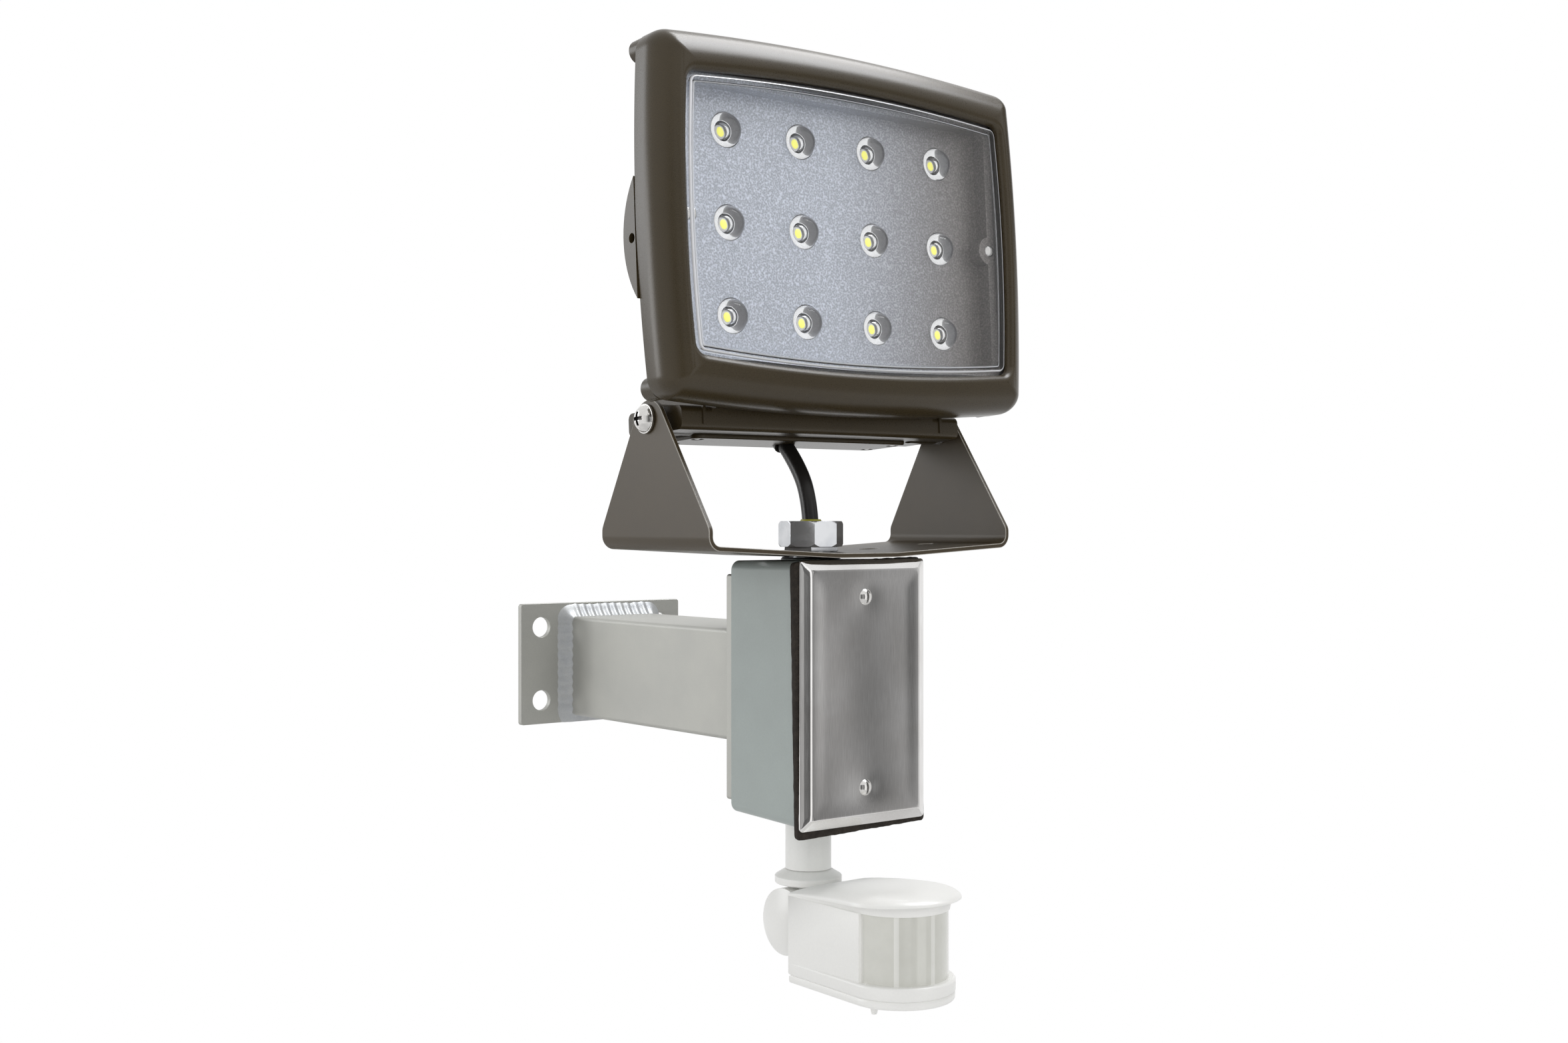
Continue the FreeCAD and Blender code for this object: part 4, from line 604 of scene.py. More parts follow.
@dataclass
class Workshop:
    """Places, finishes and the common way of making and dressing pieces."""

    frame: dict
    shop: FinishShop = field(default_factory=FinishShop)
    arm_offset: float = 4.5
    arm_drop: float = 1.6
    pivot_y: float = -165.5
    pivot_z: float = 118.2
    head_lean: float = 3.5
    led_ahead: float = 29.0
    led_above: float = 81.2
    joined: float = 2e-6
    level: float = 0.4
    softened_sharp: float = 50.0

    @property
    def arm(self) -> Matrix:
        """Place of what is drawn about the arm's centre line."""
        shift = Vector((self.arm_offset, 0, -self.arm_drop)) * MM
        return Matrix.Translation(shift) @ Matrix.Scale(MM, 4)

    @property
    def head(self) -> Matrix:
        """Place of what is drawn about the middle of the LED grid.

        Returns:
            The place, which also turns millimetres into metres.
        """
        pivot = Vector((self.arm_offset, self.pivot_y, self.pivot_z - self.arm_drop)) * MM
        lean = Matrix.Rotation(math.radians(-self.head_lean), 4, "X")
        to_grid = Matrix.Translation((0, -self.led_ahead, self.led_above))
        return Matrix.Translation(pivot) @ lean @ Matrix.Scale(MM, 4) @ to_grid

    def build(self, name: str, shape: Shape, place: Matrix, finishes: Sequence[Finish], node: str,
              sharp: float) -> bpy.types.Object:
        """Turn a shape into a piece that stands for a node of the frame.

        Args:
            name: Name of the piece.
            shape: Its corners and faces.
            place: Where its millimetres lie.
            finishes: Finish of each number.
            node: Node that it replaces and whose body it rides on.
            sharp: Angle in degrees above which an edge stays sharp.

        Returns:
            The new object.
        """
        piece = put_in_scene(name, shape.mesh(name, place, sharp))
        for finish in finishes:
            piece.data.materials.append(self.shop.get(finish))
        self.even_out(piece)
        return self.settle(piece, node)

    def settle(self, piece: bpy.types.Object, node: str) -> bpy.types.Object:
        """Let a piece stand for a node and ride on its body.

        Args:
            piece: The piece.
            node: Node that it replaces.

        Returns:
            The piece.
        """
        body = self.frame["nodes"][node]["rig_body"]
        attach(piece, body)
        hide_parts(node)
        LOG.info("%s stands for %s on %s, %d faces", piece.name, node, body, len(piece.data.polygons))
        return piece

    def soften(self, node: str, finish: Finish, width: float, segments: int = 2, edge: Finish | None = None,
               angle: float = 28.0, change: Callable[[bmesh.types.BMesh], None] | None = None,
               crisp: Callable[[Vector], bool] | None = None) -> bpy.types.Object:
        """Copy a node's solid, round its edges and dress it.

        Args:
            node: Node of the frame.
            finish: Finish of its faces.
            width: Width of the rounding, in millimetres.
            segments: Steps of the rounding.
            edge: Second finish: a painted highlight on the rounding, or, where change marks faces, painted
                shade on those faces.
            angle: Angle in degrees above which an edge is rounded.
            change: Work on the mesh before its edges are rounded.
            crisp: Tells of an edge's middle, about the arm's centre line, whether the edge is left unrounded.

        Returns:
            The new object.
        """
        name = node + "_finished"
        mesh = self.frame["nodes"][node].data.copy()
        mesh.name = name
        mesh.materials.clear()
        solid = bmesh.new()
        solid.from_mesh(mesh)
        bmesh.ops.remove_doubles(solid, verts=solid.verts, dist=self.joined)
        bmesh.ops.dissolve_limit(solid, angle_limit=math.radians(self.level), verts=solid.verts,
                                 edges=solid.edges)
        for face in solid.faces:
            face.smooth = True
            face.material_index = 0
        if change:
            change(solid)
        self.weigh_edges(solid, angle, crisp)
        solid.to_mesh(mesh)
        solid.free()
        for old in [a.name for a in mesh.attributes if a.name in ("custom_normal", "sharp_face")]:
            mesh.attributes.remove(mesh.attributes[old])
        for one in (finish, edge) if edge else (finish,):
            mesh.materials.append(self.shop.get(one))
        piece = put_in_scene(name, mesh)
        rounding = piece.modifiers.new("rounding", "BEVEL")
        rounding.width = width * MM
        rounding.segments = segments
        rounding.limit_method = "WEIGHT"
        rounding.use_clamp_overlap = True
        rounding.miter_outer = "MITER_ARC"
        # Without change, the rounding takes the second finish, a painted highlight; with change, the faces it
        # marks take it.
        rounding.material = 1 if edge and not change else -1
        self.even_out(piece)
        piece.data.set_sharp_from_angle(angle=math.radians(self.softened_sharp))
        return self.settle(piece, node)

    def soften_all(self, rows: Iterable[tuple[str, Finish, float]]) -> None:
        """Soften the nodes of a table of node, finish and width."""
        for row in rows:
            self.soften(*row)

    def weigh_edges(self, solid: bmesh.types.BMesh, angle: float,
                    crisp: Callable[[Vector], bool] | None) -> None:
        """Mark the edges that are rounded, and keep the crisp ones sharp.

        Args:
            solid: Mesh to mark.
            angle: Angle in degrees above which an edge is rounded.
            crisp: Tells of an edge's middle whether the edge is left unrounded.
        """
        to_arm = self.arm.inverted()
        weight = solid.edges.layers.float.new("bevel_weight_edge")
        for line in solid.edges:
            line.smooth = True
            if len(line.link_faces) != 2 or math.degrees(line.calc_face_angle(0.0)) < angle:
                continue
            middle = to_arm @ ((line.verts[0].co + line.verts[1].co) / 2)
            line.smooth = not (crisp and crisp(middle))
            line[weight] = float(line.smooth)

    @staticmethod
    def even_out(piece: bpy.types.Object) -> None:
        """Weight a piece's normals by face and apply its modifiers.

        Args:
            piece: The piece.
        """
        piece.modifiers.new("even", "WEIGHTED_NORMAL").keep_sharp = True
        bpy.context.view_layer.update()
        graph = bpy.context.evaluated_depsgraph_get()
        rounded = piece.evaluated_get(graph)
        final = bpy.data.meshes.new_from_object(rounded, preserve_all_data_layers=True, depsgraph=graph)
        piece.modifiers.clear()
        piece.data = final


@dataclass
class SubAssembly:
    """Pieces that are made together."""

    work: Workshop


@dataclass
class WallArm(SubAssembly):
    """Wall plate, weld bead, square arm and end plate."""

    arm_half: float = 25.4
    arm_corner: float = 2.0
    plate_front: float = -3.2
    plate_low: float = -29.2
    steps: tuple[int, int] = (90, 10)
    leg: float = 6.0
    reach: float = 4.0
    ripple: float = 4.6
    ripple_size: float = 0.24
    ripple_shift: float = 0.3
    ripple_leg: float = 0.25
    ripple_lift: float = 0.9
    ripple_swell: float = 0.35
    wander: float = 0.5
    wander_size: float = 0.22
    wander_pace: float = 0.11
    wander_leg: float = 0.10
    noise_row: float = 3.7
    profile: tuple[Flat, ...] = ((0.0, -0.02), (0.0, 1.0), (0.10, 0.86), (0.26, 0.66), (0.46, 0.45),
                                 (0.68, 0.27), (0.86, 0.13), (1.0, -0.02))

    def build(self) -> None:
        """Make and dress every piece."""
        self.work.soften_all((("wall_plate", MILL, 0.3), ("arm_tube", MILL, 0.25), ("end_plate", MILL, 0.3),
                              ("end_plate_screws", BRIGHT, 0.2)))
        self.weld()

    def weld(self) -> None:
        """Make the bead of overlapping ripples all round the arm."""
        shape = Shape()
        wide = self.arm_half + self.leg
        path = rounded_outline(self.arm_half, self.arm_half, self.arm_corner, *self.steps)
        out = rounded_outline(wide, wide, self.arm_corner + self.leg, *self.steps)
        travelled, before = 0.0, path[-1]
        rings: list[Ring] = []
        for near, far in zip(path, out):
            travelled += math.hypot(near[0] - before[0], near[1] - before[1])
            before = near
            wander = self.wander * noise.noise(Vector((travelled * self.wander_pace, self.noise_row, 0.0)))
            phase = (travelled / self.ripple + self.ripple_shift * wander) % 1.0
            wave = self.ripple_size * (0.5 - 0.5 * math.cos(TURN * phase)) + self.wander_size * wander
            points = []
            for leg, rise in self.profile:
                share = leg * (1 + (self.ripple_leg * wave + self.wander_leg * wander))
                lift = rise * (1 + self.ripple_lift * wave) if rise > 0 else rise
                swell = self.ripple_swell * wave if 0 < leg < 1 else 0.0
                z = near[1] + (far[1] - near[1]) * share
                points.append((near[0] + (far[0] - near[0]) * share,
                               self.plate_front - self.reach * lift - swell, max(z, self.plate_low)))
            rings.append(shape.ring(points))
        shape.skin(rings, looped=True)
        self.work.build("weld_ripples", shape, self.work.arm, [WELD], "weld_bead", 65)


@dataclass
class OutletBox(SubAssembly):
    """Outlet box, gasket, cover and their screws."""

    cover_y: float = -206.0
    cover_half: Flat = (35.7, 57.95)
    cover_corner: float = 1.5
    bevel_w: float = 4.6
    bevel_rise: float = 2.2
    sheet: float = 0.9
    lip: float = 0.35
    slope_steps: int = 5
    shoulder_r: float = 4.2
    shoulder_steps: int = 8
    hollow: float = 0.3
    back_edge: float = 0.9
    proud: float = 0.14
    dents: tuple[Flat, ...] = ((0.25, 6.5), (0.34, 15.0))
    dish: float = 0.50
    sway: float = 0.22
    sway_up: Flat = (0.058, 0.6)
    sway_across: float = 0.075
    sway_twist: Flat = (0.11, 0.03)
    fade_cells: int = 4
    screw_z: float = 41.65
    screw_head: Flat = (3.6, 1.75)
    screw_shank: Flat = (1.7, 18.0)
    gasket_half: Flat = (36.3, 59.2)
    gasket_open: Flat = (26.0, 33.0)
    gasket_corners: Flat = (2.0, 4.0)
    gasket_steps: tuple[int, int] = (70, 8)
    gasket_shift: float = 0.8
    gasket_drop: float = 1.4
    gasket_lean: float = 1.2
    gasket_t: float = 3.0
    foam_pace: float = 0.35
    columns: int = 34
    rows: int = 56

    def build(self) -> None:
        """Make and dress every piece."""
        self.work.soften("outlet_box", ENAMEL, 0.9, segments=4)
        self.gasket()
        self.cover()
        self.screws()
        self.work.soften("splice_caps", CAPS, 0.5)

    def gasket(self) -> None:
        """Make the soft foam sheet, with slightly uneven cut edges and a bulge where the cover squeezes it."""
        shape = Shape()
        outer = rounded_outline(*self.gasket_half, self.gasket_corners[0], *self.gasket_steps)
        inner = rounded_outline(*self.gasket_open, self.gasket_corners[1], *self.gasket_steps)
        lean = math.radians(self.gasket_lean)

        def placed(y: float, out: float, own: float) -> list[Point]:
            """Grow, roughen, turn and shift the outer outline.

            Args:
                y: Where the ring lies.
                out: How far it is grown.
                own: How far its own roughness reaches.

            Returns:
                The ring's points.
            """
            found = []
            for x, z in outer:
                rough = own * noise.noise(Vector((x * self.foam_pace, z * self.foam_pace, y)))
                far = math.hypot(x, z)
                x, z = x + (out + rough) * x / far, z + (out + rough) * z / far
                found.append((x * math.cos(lean) - z * math.sin(lean) - self.gasket_shift, y,
                              z * math.cos(lean) + x * math.sin(lean) - self.gasket_drop))
            return found

        front, back = self.cover_y, self.cover_y + self.gasket_t
        rows = ((back, -0.35, 0.25), (back - 0.25, 0.0, 0.3), (back - 1.5, 0.15, 0.35),
                (front + 0.25, 0.0, 0.3), (front, -0.35, 0.25))
        rings = [shape.ring(placed(*row)) for row in rows]
        rings += [shape.ring([(x, y, z) for x, z in inner]) for y in (front, back)]
        shape.skin(rings, looped=True)
        self.work.build("foam_gasket", shape, self.work.arm, [FOAM], "box_gasket", 50)

    def edge_ring(self, inset: float, y: float) -> list[Point]:
        """Border of the cover's grid, with its corner rounded over three points.

        Args:
            inset: How far inside the cover's outline it lies.
            y: Where it lies from front to back.

        Returns:
            The ring's points.
        """
        half_w, half_h = self.cover_half[0] - inset, self.cover_half[1] - inset
        r = self.cover_corner
        diagonal = r * (1 - math.sqrt(0.5))
        near_w, near_h = half_w - diagonal, half_h - diagonal

        def spaced(half: float, count: int) -> list[float]:
            """Places along one side, whose first and last step are the corner's."""
            return [-half + r + 2 * (half - r) * i / (count - 2) for i in range(count - 1)]

        xs, zs = spaced(half_w, self.columns), spaced(half_h, self.rows)
        points = [(-near_w, -near_h), *((x, -half_h) for x in xs),
                  (near_w, -near_h), *((half_w, z) for z in zs),
                  (near_w, near_h), *((x, half_h) for x in reversed(xs)),
                  (-near_w, near_h), *((-half_w, z) for z in reversed(zs))]
        return [(x, y, z) for x, z in points]

    def face_y(self, x: float, z: float) -> float:
        """Front of the cover: a shallow uneven dish, drawn in round each screw.

        Args:
            x: Place across.
            z: Height.

        Returns:
            Where the face lies from front to back.
        """
        front = self.cover_y - self.sheet - self.bevel_rise
        half_w, half_h = self.cover_half
        dent = 0.0
        for sz in (-1, 1):
            far = math.hypot(x, z - sz * self.screw_z)
            dent += sum(depth * math.exp(-(far / width) ** 2) for depth, width in self.dents)
        dish = self.dish * math.cos(math.pi * x / (2 * half_w)) * math.cos(math.pi * z / (2 * half_h))
        wave = math.sin(z * self.sway_up[0] + self.sway_up[1]) * math.cos(x * self.sway_across)
        twist = math.sin(x * self.sway_twist[0] + z * self.sway_twist[1])
        return front + self.proud + dent + dish + self.sway * (wave - twist) * (1 - (x / half_w) ** 2)

    def border(self) -> list[tuple[float, float]]:
        """Levels of the cover's border as (inset, y): upstanding rim, slope and rounded shoulder.

        Returns:
            The levels, from the box to the face.
        """
        rim = self.cover_y - self.sheet
        levels = [(0.0, self.cover_y), (0.0, rim + 0.25), (0.12, rim + 0.05), (self.lip, rim - 0.08)]
        slope = math.atan2(self.bevel_rise, self.bevel_w)
        reach = self.shoulder_r * math.tan(slope / 2)
        start = self.bevel_w - reach * math.cos(slope)
        for i in range(1, self.slope_steps):
            inset = self.lip + (start - self.lip) * (i / self.slope_steps)
            levels.append((inset, rim - self.bevel_rise * inset / self.bevel_w))
        for i in range(self.shoulder_steps + 1):
            turn = slope * (1 - i / self.shoulder_steps)
            levels.append((self.bevel_w + reach - self.shoulder_r * math.sin(turn),
                           rim - self.bevel_rise + self.shoulder_r * (1 - math.cos(turn))))
        return levels

    def cover(self) -> None:
        """Make the pressed cover: its border, a face drawn in at the screws, and the hollow behind."""
        shape = Shape()
        front = self.cover_y - self.sheet - self.bevel_rise
        rings = [shape.ring(self.edge_ring(*level)) for level in self.border()]
        shape.skin(rings)
        edge = rings[-1]
        nx, nz = self.columns, self.rows
        grid = {(i, 0): edge[i] for i in range(nx + 1)}
        grid |= {(nx, k): edge[nx + k] for k in range(nz + 1)}
        grid |= {(nx - i, nz): edge[nx + nz + i] for i in range(nx + 1)}
        grid |= {(0, nz - k): edge[2 * nx + nz + k] for k in range(nz)}
        for i in range(1, nx):
            for k in range(1, nz):
                x, z = shape.points[edge[i]][0], shape.points[edge[nx + k]][2]
                near = min(1.0, min(i, nx - i, k, nz - k) / self.fade_cells)
                share = near ** 2 * (3 - 2 * near)
                grid[i, k] = shape.ring([(x, front + (self.face_y(x, z) - front) * share, z)])[0]
        for i in range(nx):
            for k in range(nz):
                shape.face((grid[i, k], grid[i + 1, k], grid[i + 1, k + 1], grid[i, k + 1]))
        hollow = front + self.sheet + self.hollow
        back = shape.ring(self.edge_ring(self.back_edge, self.cover_y))
        inner = shape.ring(self.edge_ring(self.bevel_w, hollow))
        shape.skin([back, rings[0]])
        shape.skin([inner, back])
        shape.cap(inner, (0, hollow, 0))
        self.work.build("pressed_cover", shape, self.work.arm, [STAINLESS], "box_cover", 45)

    def screws(self) -> None:
        """Make the two oval-headed screws with an upright slot."""
        shape = Shape()
        r, length = self.screw_shank
        for sz in (-1, 1):
            seat = (0.0, self.face_y(0.0, sz * self.screw_z), sz * self.screw_z)
            slotted_head(shape, seat, *self.screw_head)
            shape.turned([(0, -length), (r, -length), (r, 0.1), (0, 0.1)], seat, 20)
        self.work.build("slotted_screws", shape, self.work.arm, [BRIGHT], "cover_screws", 35)


def slotted_head(shape: Shape, seat: Point, radius: float, height: float, slot: float = 1.0,
                 depth: float = 0.9) -> None:
    """Add an oval screw head that faces the viewer, with an upright slot.

    Args:
        shape: Where to add it.
        seat: Middle of its underside.
        radius: Its radius.
        height: How far it bulges.
        slot: Width of the slot.
        depth: Depth of the slot at its middle.
    """
    x0, y0, z0 = seat
    rows, lane_steps, wall, under = 22, 16, 0.02, 0.2
    dome_r = (radius ** 2 + height ** 2) / (2 * height)
    cuts = {side * slot / 2 + off for side in (-1, 1) for off in (-wall, 0.0, wall)}
    lanes = sorted({-radius * math.cos(math.pi * i / lane_steps) for i in range(lane_steps + 1)} | cuts)
    grid: list[Ring] = []
    for lane in lanes:
        half = math.sqrt(max(radius ** 2 - lane ** 2, wall ** 2))
        column = []
        for k in range(rows + 1):
            z = -half * math.cos(math.pi * k / rows)
            far = min(math.hypot(lane, z), radius)
            rise = math.sqrt(dome_r ** 2 - far ** 2) - (dome_r - height)
            if abs(lane) <= slot / 2 - wall / 2:
                rise = min(rise, height - depth)
            column.append((x0 + lane, y0 - rise, z0 + z))
        grid.append(shape.ring(column))
    shape.skin(grid, closed=False)
    border = [g[0] for g in grid] + grid[-1][1:-1] + [g[-1] for g in reversed(grid)] + grid[0][1:-1][::-1]
    back = shape.ring([(shape.points[b][0], y0 + under, shape.points[b][2]) for b in border])
    shape.skin([border, back])
    shape.cap(back, (x0, y0 + under, z0))


@dataclass
class CordConnector(SubAssembly):
    """Clamp of the yoke and the nut that the cord leaves by."""

    def build(self) -> None:
        """Make and dress every piece."""
        self.work.soften_all((("hub_washer", RUBBER, 0.2), ("connector_body", ZINC, 0.2),
                              ("yoke_nut", ZINC, 0.25)))
        self.work.soften("compression_nut", ZINC, 0.35, segments=3, angle=20)
        self.work.soften("gland_seal", SEAL, 0.2)


@dataclass
class Yoke(SubAssembly):
    """Bent yoke bracket and the cord that rises through it."""

    hub_y: float = -170.5
    cord_r: float = 3.7
    cord_steps: int = 40
    nut_top: Flat = (0.0, 76.0)
    entry: Flat = (14.0, 108.0)
    route: tuple[Flat, ...] = ((0.0, 66.5), (0.0, 80.0), (8.0, 100.0), (25.5, 116.0))

    def build(self) -> None:
        """Make and dress every piece."""
        # The yoke's rounded edges get a painted highlight.
        self.work.soften("yoke_bracket", BRONZE_SHEET, 0.45, edge=BRONZE_PAINTED_EDGE_HIGHLIGHT)
        self.cord()

    def place(self, spot: Flat) -> Vector:
        """Real place of a spot behind the hub and above the arm."""
        return self.work.arm @ Vector((0, self.hub_y + spot[0], spot[1]))

    def centre_line(self) -> list[Vector]:
        """Read points off the cord's own smooth curve.

        Returns:
            The points, in metres.
        """
        line = bpy.data.curves.new("cord_line", "CURVE")
        line.dimensions = "3D"
        line.resolution_u = 24
        spline = line.splines.new("NURBS")
        spline.points.add(len(self.route) - 1)
        for point, spot in zip(spline.points, self.route):
            point.co = (*self.place(spot), 1)
        spline.order_u = 3
        spline.use_endpoint_u = True
        holder = put_in_scene("cord_line", line)
        bpy.context.view_layer.update()
        mesh = bpy.data.meshes.new_from_object(holder)
        points = [v.co.copy() for v in mesh.vertices]
        bpy.data.objects.remove(holder)
        return points

    def cord(self) -> None:
        """Make the round jacketed cord, which bends between the yoke and the lamp head."""
        points = self.centre_line()
        across = Vector((1, 0, 0))
        shape = Shape()
        rings: list[Ring] = []
        for i, point in enumerate(points):
            ahead = points[min(i + 1, len(points) - 1)] - points[max(i - 1, 0)]
            up = ahead.normalized().cross(across).normalized()
            ring = []
            for k in range(self.cord_steps):
                angle = TURN * k / self.cord_steps
                ring.append(tuple(point + (across * math.cos(angle) + up * math.sin(angle)) * self.cord_r * MM))
            rings.append(shape.ring(ring))
        shape.skin(rings)
        for end in (0, -1):
            shape.cap(rings[end], tuple(points[end]))
        piece = put_in_scene("cord", shape.mesh("cord", Matrix.Identity(4), 50))
        piece.data.materials.append(self.work.shop.get(RUBBER))
        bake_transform(piece, "yoke", "lamp_head", start=self.place(self.nut_top), end=self.place(self.entry))
        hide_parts("lamp_cord")


@dataclass
class LampHead(SubAssembly):
    """Bezel, lens, reflector tray and LEDs, drawn about the middle of the LED grid."""

    outside: Bowed = Bowed(104.8, 80.2, 3.5, 4.3)
    window: Bowed = Bowed(91.5, 62.6, 2.6, 4.1)
    rise: float = 0.2
    drop: float = 0.4
    front: float = -16.1
    back: float = 4.8
    rear_edge: float = 0.5
    corner_r: float = 9.5
    sharp_r: float = 1.5
    front_r: float = 14.2
    front_steps: int = 16
    lip_r: float = 3.2
    lip_steps: int = 8
    window_corner: float = 4.7
    narrow: float = 0.80
    pocket: Flat = (95.0, 65.8)
    pocket_corner: float = 6.0
    pocket_front: float = -12.0
    lens_step: float = 1.8
    lens_t: float = 2.2
    lens_corner: float = 5.0
    least_r: float = 1.2
    margin: float = 1.6
    pitch: Flat = (40.6, 39.75)
    optic_r: float = 7.4
    optic_rise: float = 6.2
    optic_foot: float = 2.3
    optic_flange: float = 0.35
    optic_steps: int = 14
    floor_ahead: float = 1.6
    side: int = 28
    corner: int = 10

    def build(self) -> None:
        """Make and dress every piece."""
        self.bezel()
        self.lens()
        self.optics()
        self.emitters()
        # The tray's silver carries painted shade from left to right.
        self.work.soften("reflector_tray", SILVER, 0.9, segments=3)
        # The LED board's grey is painted shade under the tray.
        self.work.soften_all((("lens_gasket", RUBBER, 0.3), ("tray_screws", BRIGHT, 0.2),
                              ("tray_spacers", ZINC, 0.2), ("led_board", BOARD_PAINTED_SHADE, 0.15),
                              ("bezel_screws", BRIGHT, 0.2)))

    def places(self) -> list[Point]:
        """Centres of the twelve LEDs."""
        return [((c - 1.5) * self.pitch[0], 0.0, (r - 1) * self.pitch[1]) for r in range(3) for c in range(4)]

    def fullness(self) -> list[float]:
        """For each point of the outline, how much of the front rounding fits before the window.

        Returns:
            The shares, from narrow to 1.
        """
        shares: list[float] = []
        for quarter in range(4):
            rising = quarter % 2 == 0
            for i in range(self.corner + 1):
                share = i / self.corner if rising else 1 - i / self.corner
                shares.append(self.narrow + (1 - self.narrow) * share)
            shares += [1.0 if rising else self.narrow] * (self.side - 1)
        return shares

    def outer(self, inset: float) -> list[Flat]:
        """Outline of the bezel's rounding at an inset."""
        return self.outside.outline(max(self.corner_r - inset, self.sharp_r), inset, self.side, self.corner)

    def rounding(self, share: float) -> list[Point]:
        """One ring of the bezel's front rounding.

        Args:
            share: How far round it lies, from 0 to 1.

        Returns:
            The ring's points.
        """
        points: list[Point] = []
        made: dict[float, list[Flat]] = {}
        for i, fullness in enumerate(self.fullness()):
            angle = QUARTER * share * fullness
            inset = round(self.front_r * (1 - math.cos(angle)), 5)
            if inset not in made:
                made[inset] = self.outer(inset)
            x, z = made[inset][i]
            points.append((x, self.front + self.front_r * (1 - math.sin(angle)), z + self.rise))
        return points

    def bezel(self) -> None:
        """Make the bezel: a broad round front, mitred at its corners, and a rolled lip at the window."""
        shape = Shape()
        fullness = self.fullness()
        rings = [shape.ring([(x, y, z + self.rise) for x, z in self.outer(inset)])
                 for inset, y in ((self.rear_edge, self.back), (0.0, self.back - self.rear_edge))]
        rings += [shape.ring(self.rounding(i / self.front_steps)) for i in range(self.front_steps + 1)]
        for i in range(self.lip_steps + 1):
            angle = QUARTER * (1 - i / self.lip_steps)
            spread = self.lip_r * (1 - math.cos(angle))
            outline = self.window.outline(self.window_corner + spread, -spread, self.side, self.corner)
            points = []
            for k, (x, z) in enumerate(outline):
                sill = self.front + self.front_r * (1 - math.sin(QUARTER * fullness[k]))
                points.append((x, sill + self.lip_r * (1 - math.sin(angle)), z - self.drop))
            rings.append(shape.ring(points))
        wall = self.window.outline(self.window_corner, 0.0, self.side, self.corner)
        rings.append(shape.ring([(x, self.pocket_front, z - self.drop) for x, z in wall]))
        pocket = rounded_outline(*self.pocket, self.pocket_corner, self.side, self.corner)
        rings += [shape.ring([(x, y, z) for x, z in pocket]) for y in (self.pocket_front, self.back)]
        shape.skin(rings, looped=True)
        self.work.build("rounded_bezel", shape, self.work.head, [BRONZE], "bezel", 52)

    def lens(self) -> None:
        """Make the clear lens, whose raised middle fills the window, with a painted highlight on its step."""
        shape = Shape()
        seat, t = self.pocket_front, self.lens_t
        face = seat - self.lens_step
        half_w, half_h = (half - self.margin / 2 for half in self.pocket)
        rim = rounded_outline(half_w, half_h, self.lens_corner, self.side, self.corner)

        def raised(inset: float, y: float) -> Ring:
            """One ring of the raised middle.

            Args:
                inset: How far inside the window's gap it lies.
                y: Where it lies from front to back.

            Returns:
                The ring's corner numbers.
            """
            radius = max(self.window_corner - 1 - inset, self.least_r)
            outline = self.window.outline(radius, self.margin + inset, self.side, self.corner)
            return shape.ring([(x, y, z - self.drop) for x, z in outline])

        def close(rings: list[Ring], step: int, y: float) -> None:
            """Skin one side of the lens and close its middle.

            Args:
                rings: Its rings, from the rim in.
                step: Ring where the step's painted highlight starts.
                y: Where its middle lies.
            """
            shape.skin(rings[:step + 1])
            # Finish 1 is the painted highlight.
            shape.skin(rings[step:-1], mark=1)
            shape.skin(rings[-2:])
            shape.cap(rings[-1], (0, y, -self.drop))

        outside = [shape.ring([(x, y, z) for x, z in rim]) for y in (seat + t, seat)]
        levels = ((-0.5, seat), (-0.12, seat - 0.15), (0.0, seat - 0.5), (0.0, face + 0.8),
                  (0.35, face + 0.25), (0.9, face), (2.6, face))
        outside += [raised(*level) for level in levels]
        close(outside, 5, face)
        inside = [outside[0]]
        inside += [raised(t + inset, y + t) for inset, y in ((-0.4, seat), (0.0, seat - 0.5), (0.1, face + 0.6),
                                                             (0.7, face), (1.5, face))]
        close(inside, 3, face + t)
        finishes = [CLEAR, CLEAR_PAINTED_HIGHLIGHT]
        self.work.build("clear_lens", shape, self.work.head, finishes, "lens", 60).visible_shadow = False

    def optics(self) -> None:
        """Make the twelve domed optics, each hollow over its LED."""
        shape = Shape()
        dome_r = (self.optic_r ** 2 + self.optic_rise ** 2) / (2 * self.optic_rise)
        reach = math.asin(self.optic_r / dome_r)
        r, foot, steps = self.optic_r, -self.optic_foot, self.optic_steps
        flange = r + self.optic_flange
        profile = [(0.0, self.optic_rise)]
        for i in range(1, steps):
            angle = reach * i / steps
            profile.append((dome_r * math.sin(angle), dome_r * math.cos(angle) - dome_r + self.optic_rise))
        profile += [(r, 0.0), (flange, -0.2), (flange, foot + 0.2), (r, foot), (2.9, foot), (2.6, foot + 0.7),
                    (1.9, foot + 1.5), (1.0, foot + 1.9), (0.0, foot + 2.0)]
        for place in self.places():
            shape.turned(profile, place, 44)
        self.work.build("domed_optics", shape, self.work.head, [OPTIC], "led_optics", 60).visible_shadow = False

    def emitters(self) -> None:
        """Make the white LED packages with a yellow phosphor disc; both glow faintly as painted light."""
        shape = Shape()
        package = [(0, 0.0), (2.7, 0.0), (2.7, 0.5), (2.5, 0.7), (1.9, 0.7), (0, 0.66)]
        disc = [(0, 0.5), (1.85, 0.5), (1.85, 0.74), (1.4, 0.92), (0, 1.05)]
        for x, _, z in self.places():
            for mark, profile in enumerate((package, disc)):
                shape.turned(profile, (x, self.back - self.floor_ahead, z), 36, mark)
        self.work.build("led_packages", shape, self.work.head, [CERAMIC, PHOSPHOR], "led_emitters", 40)


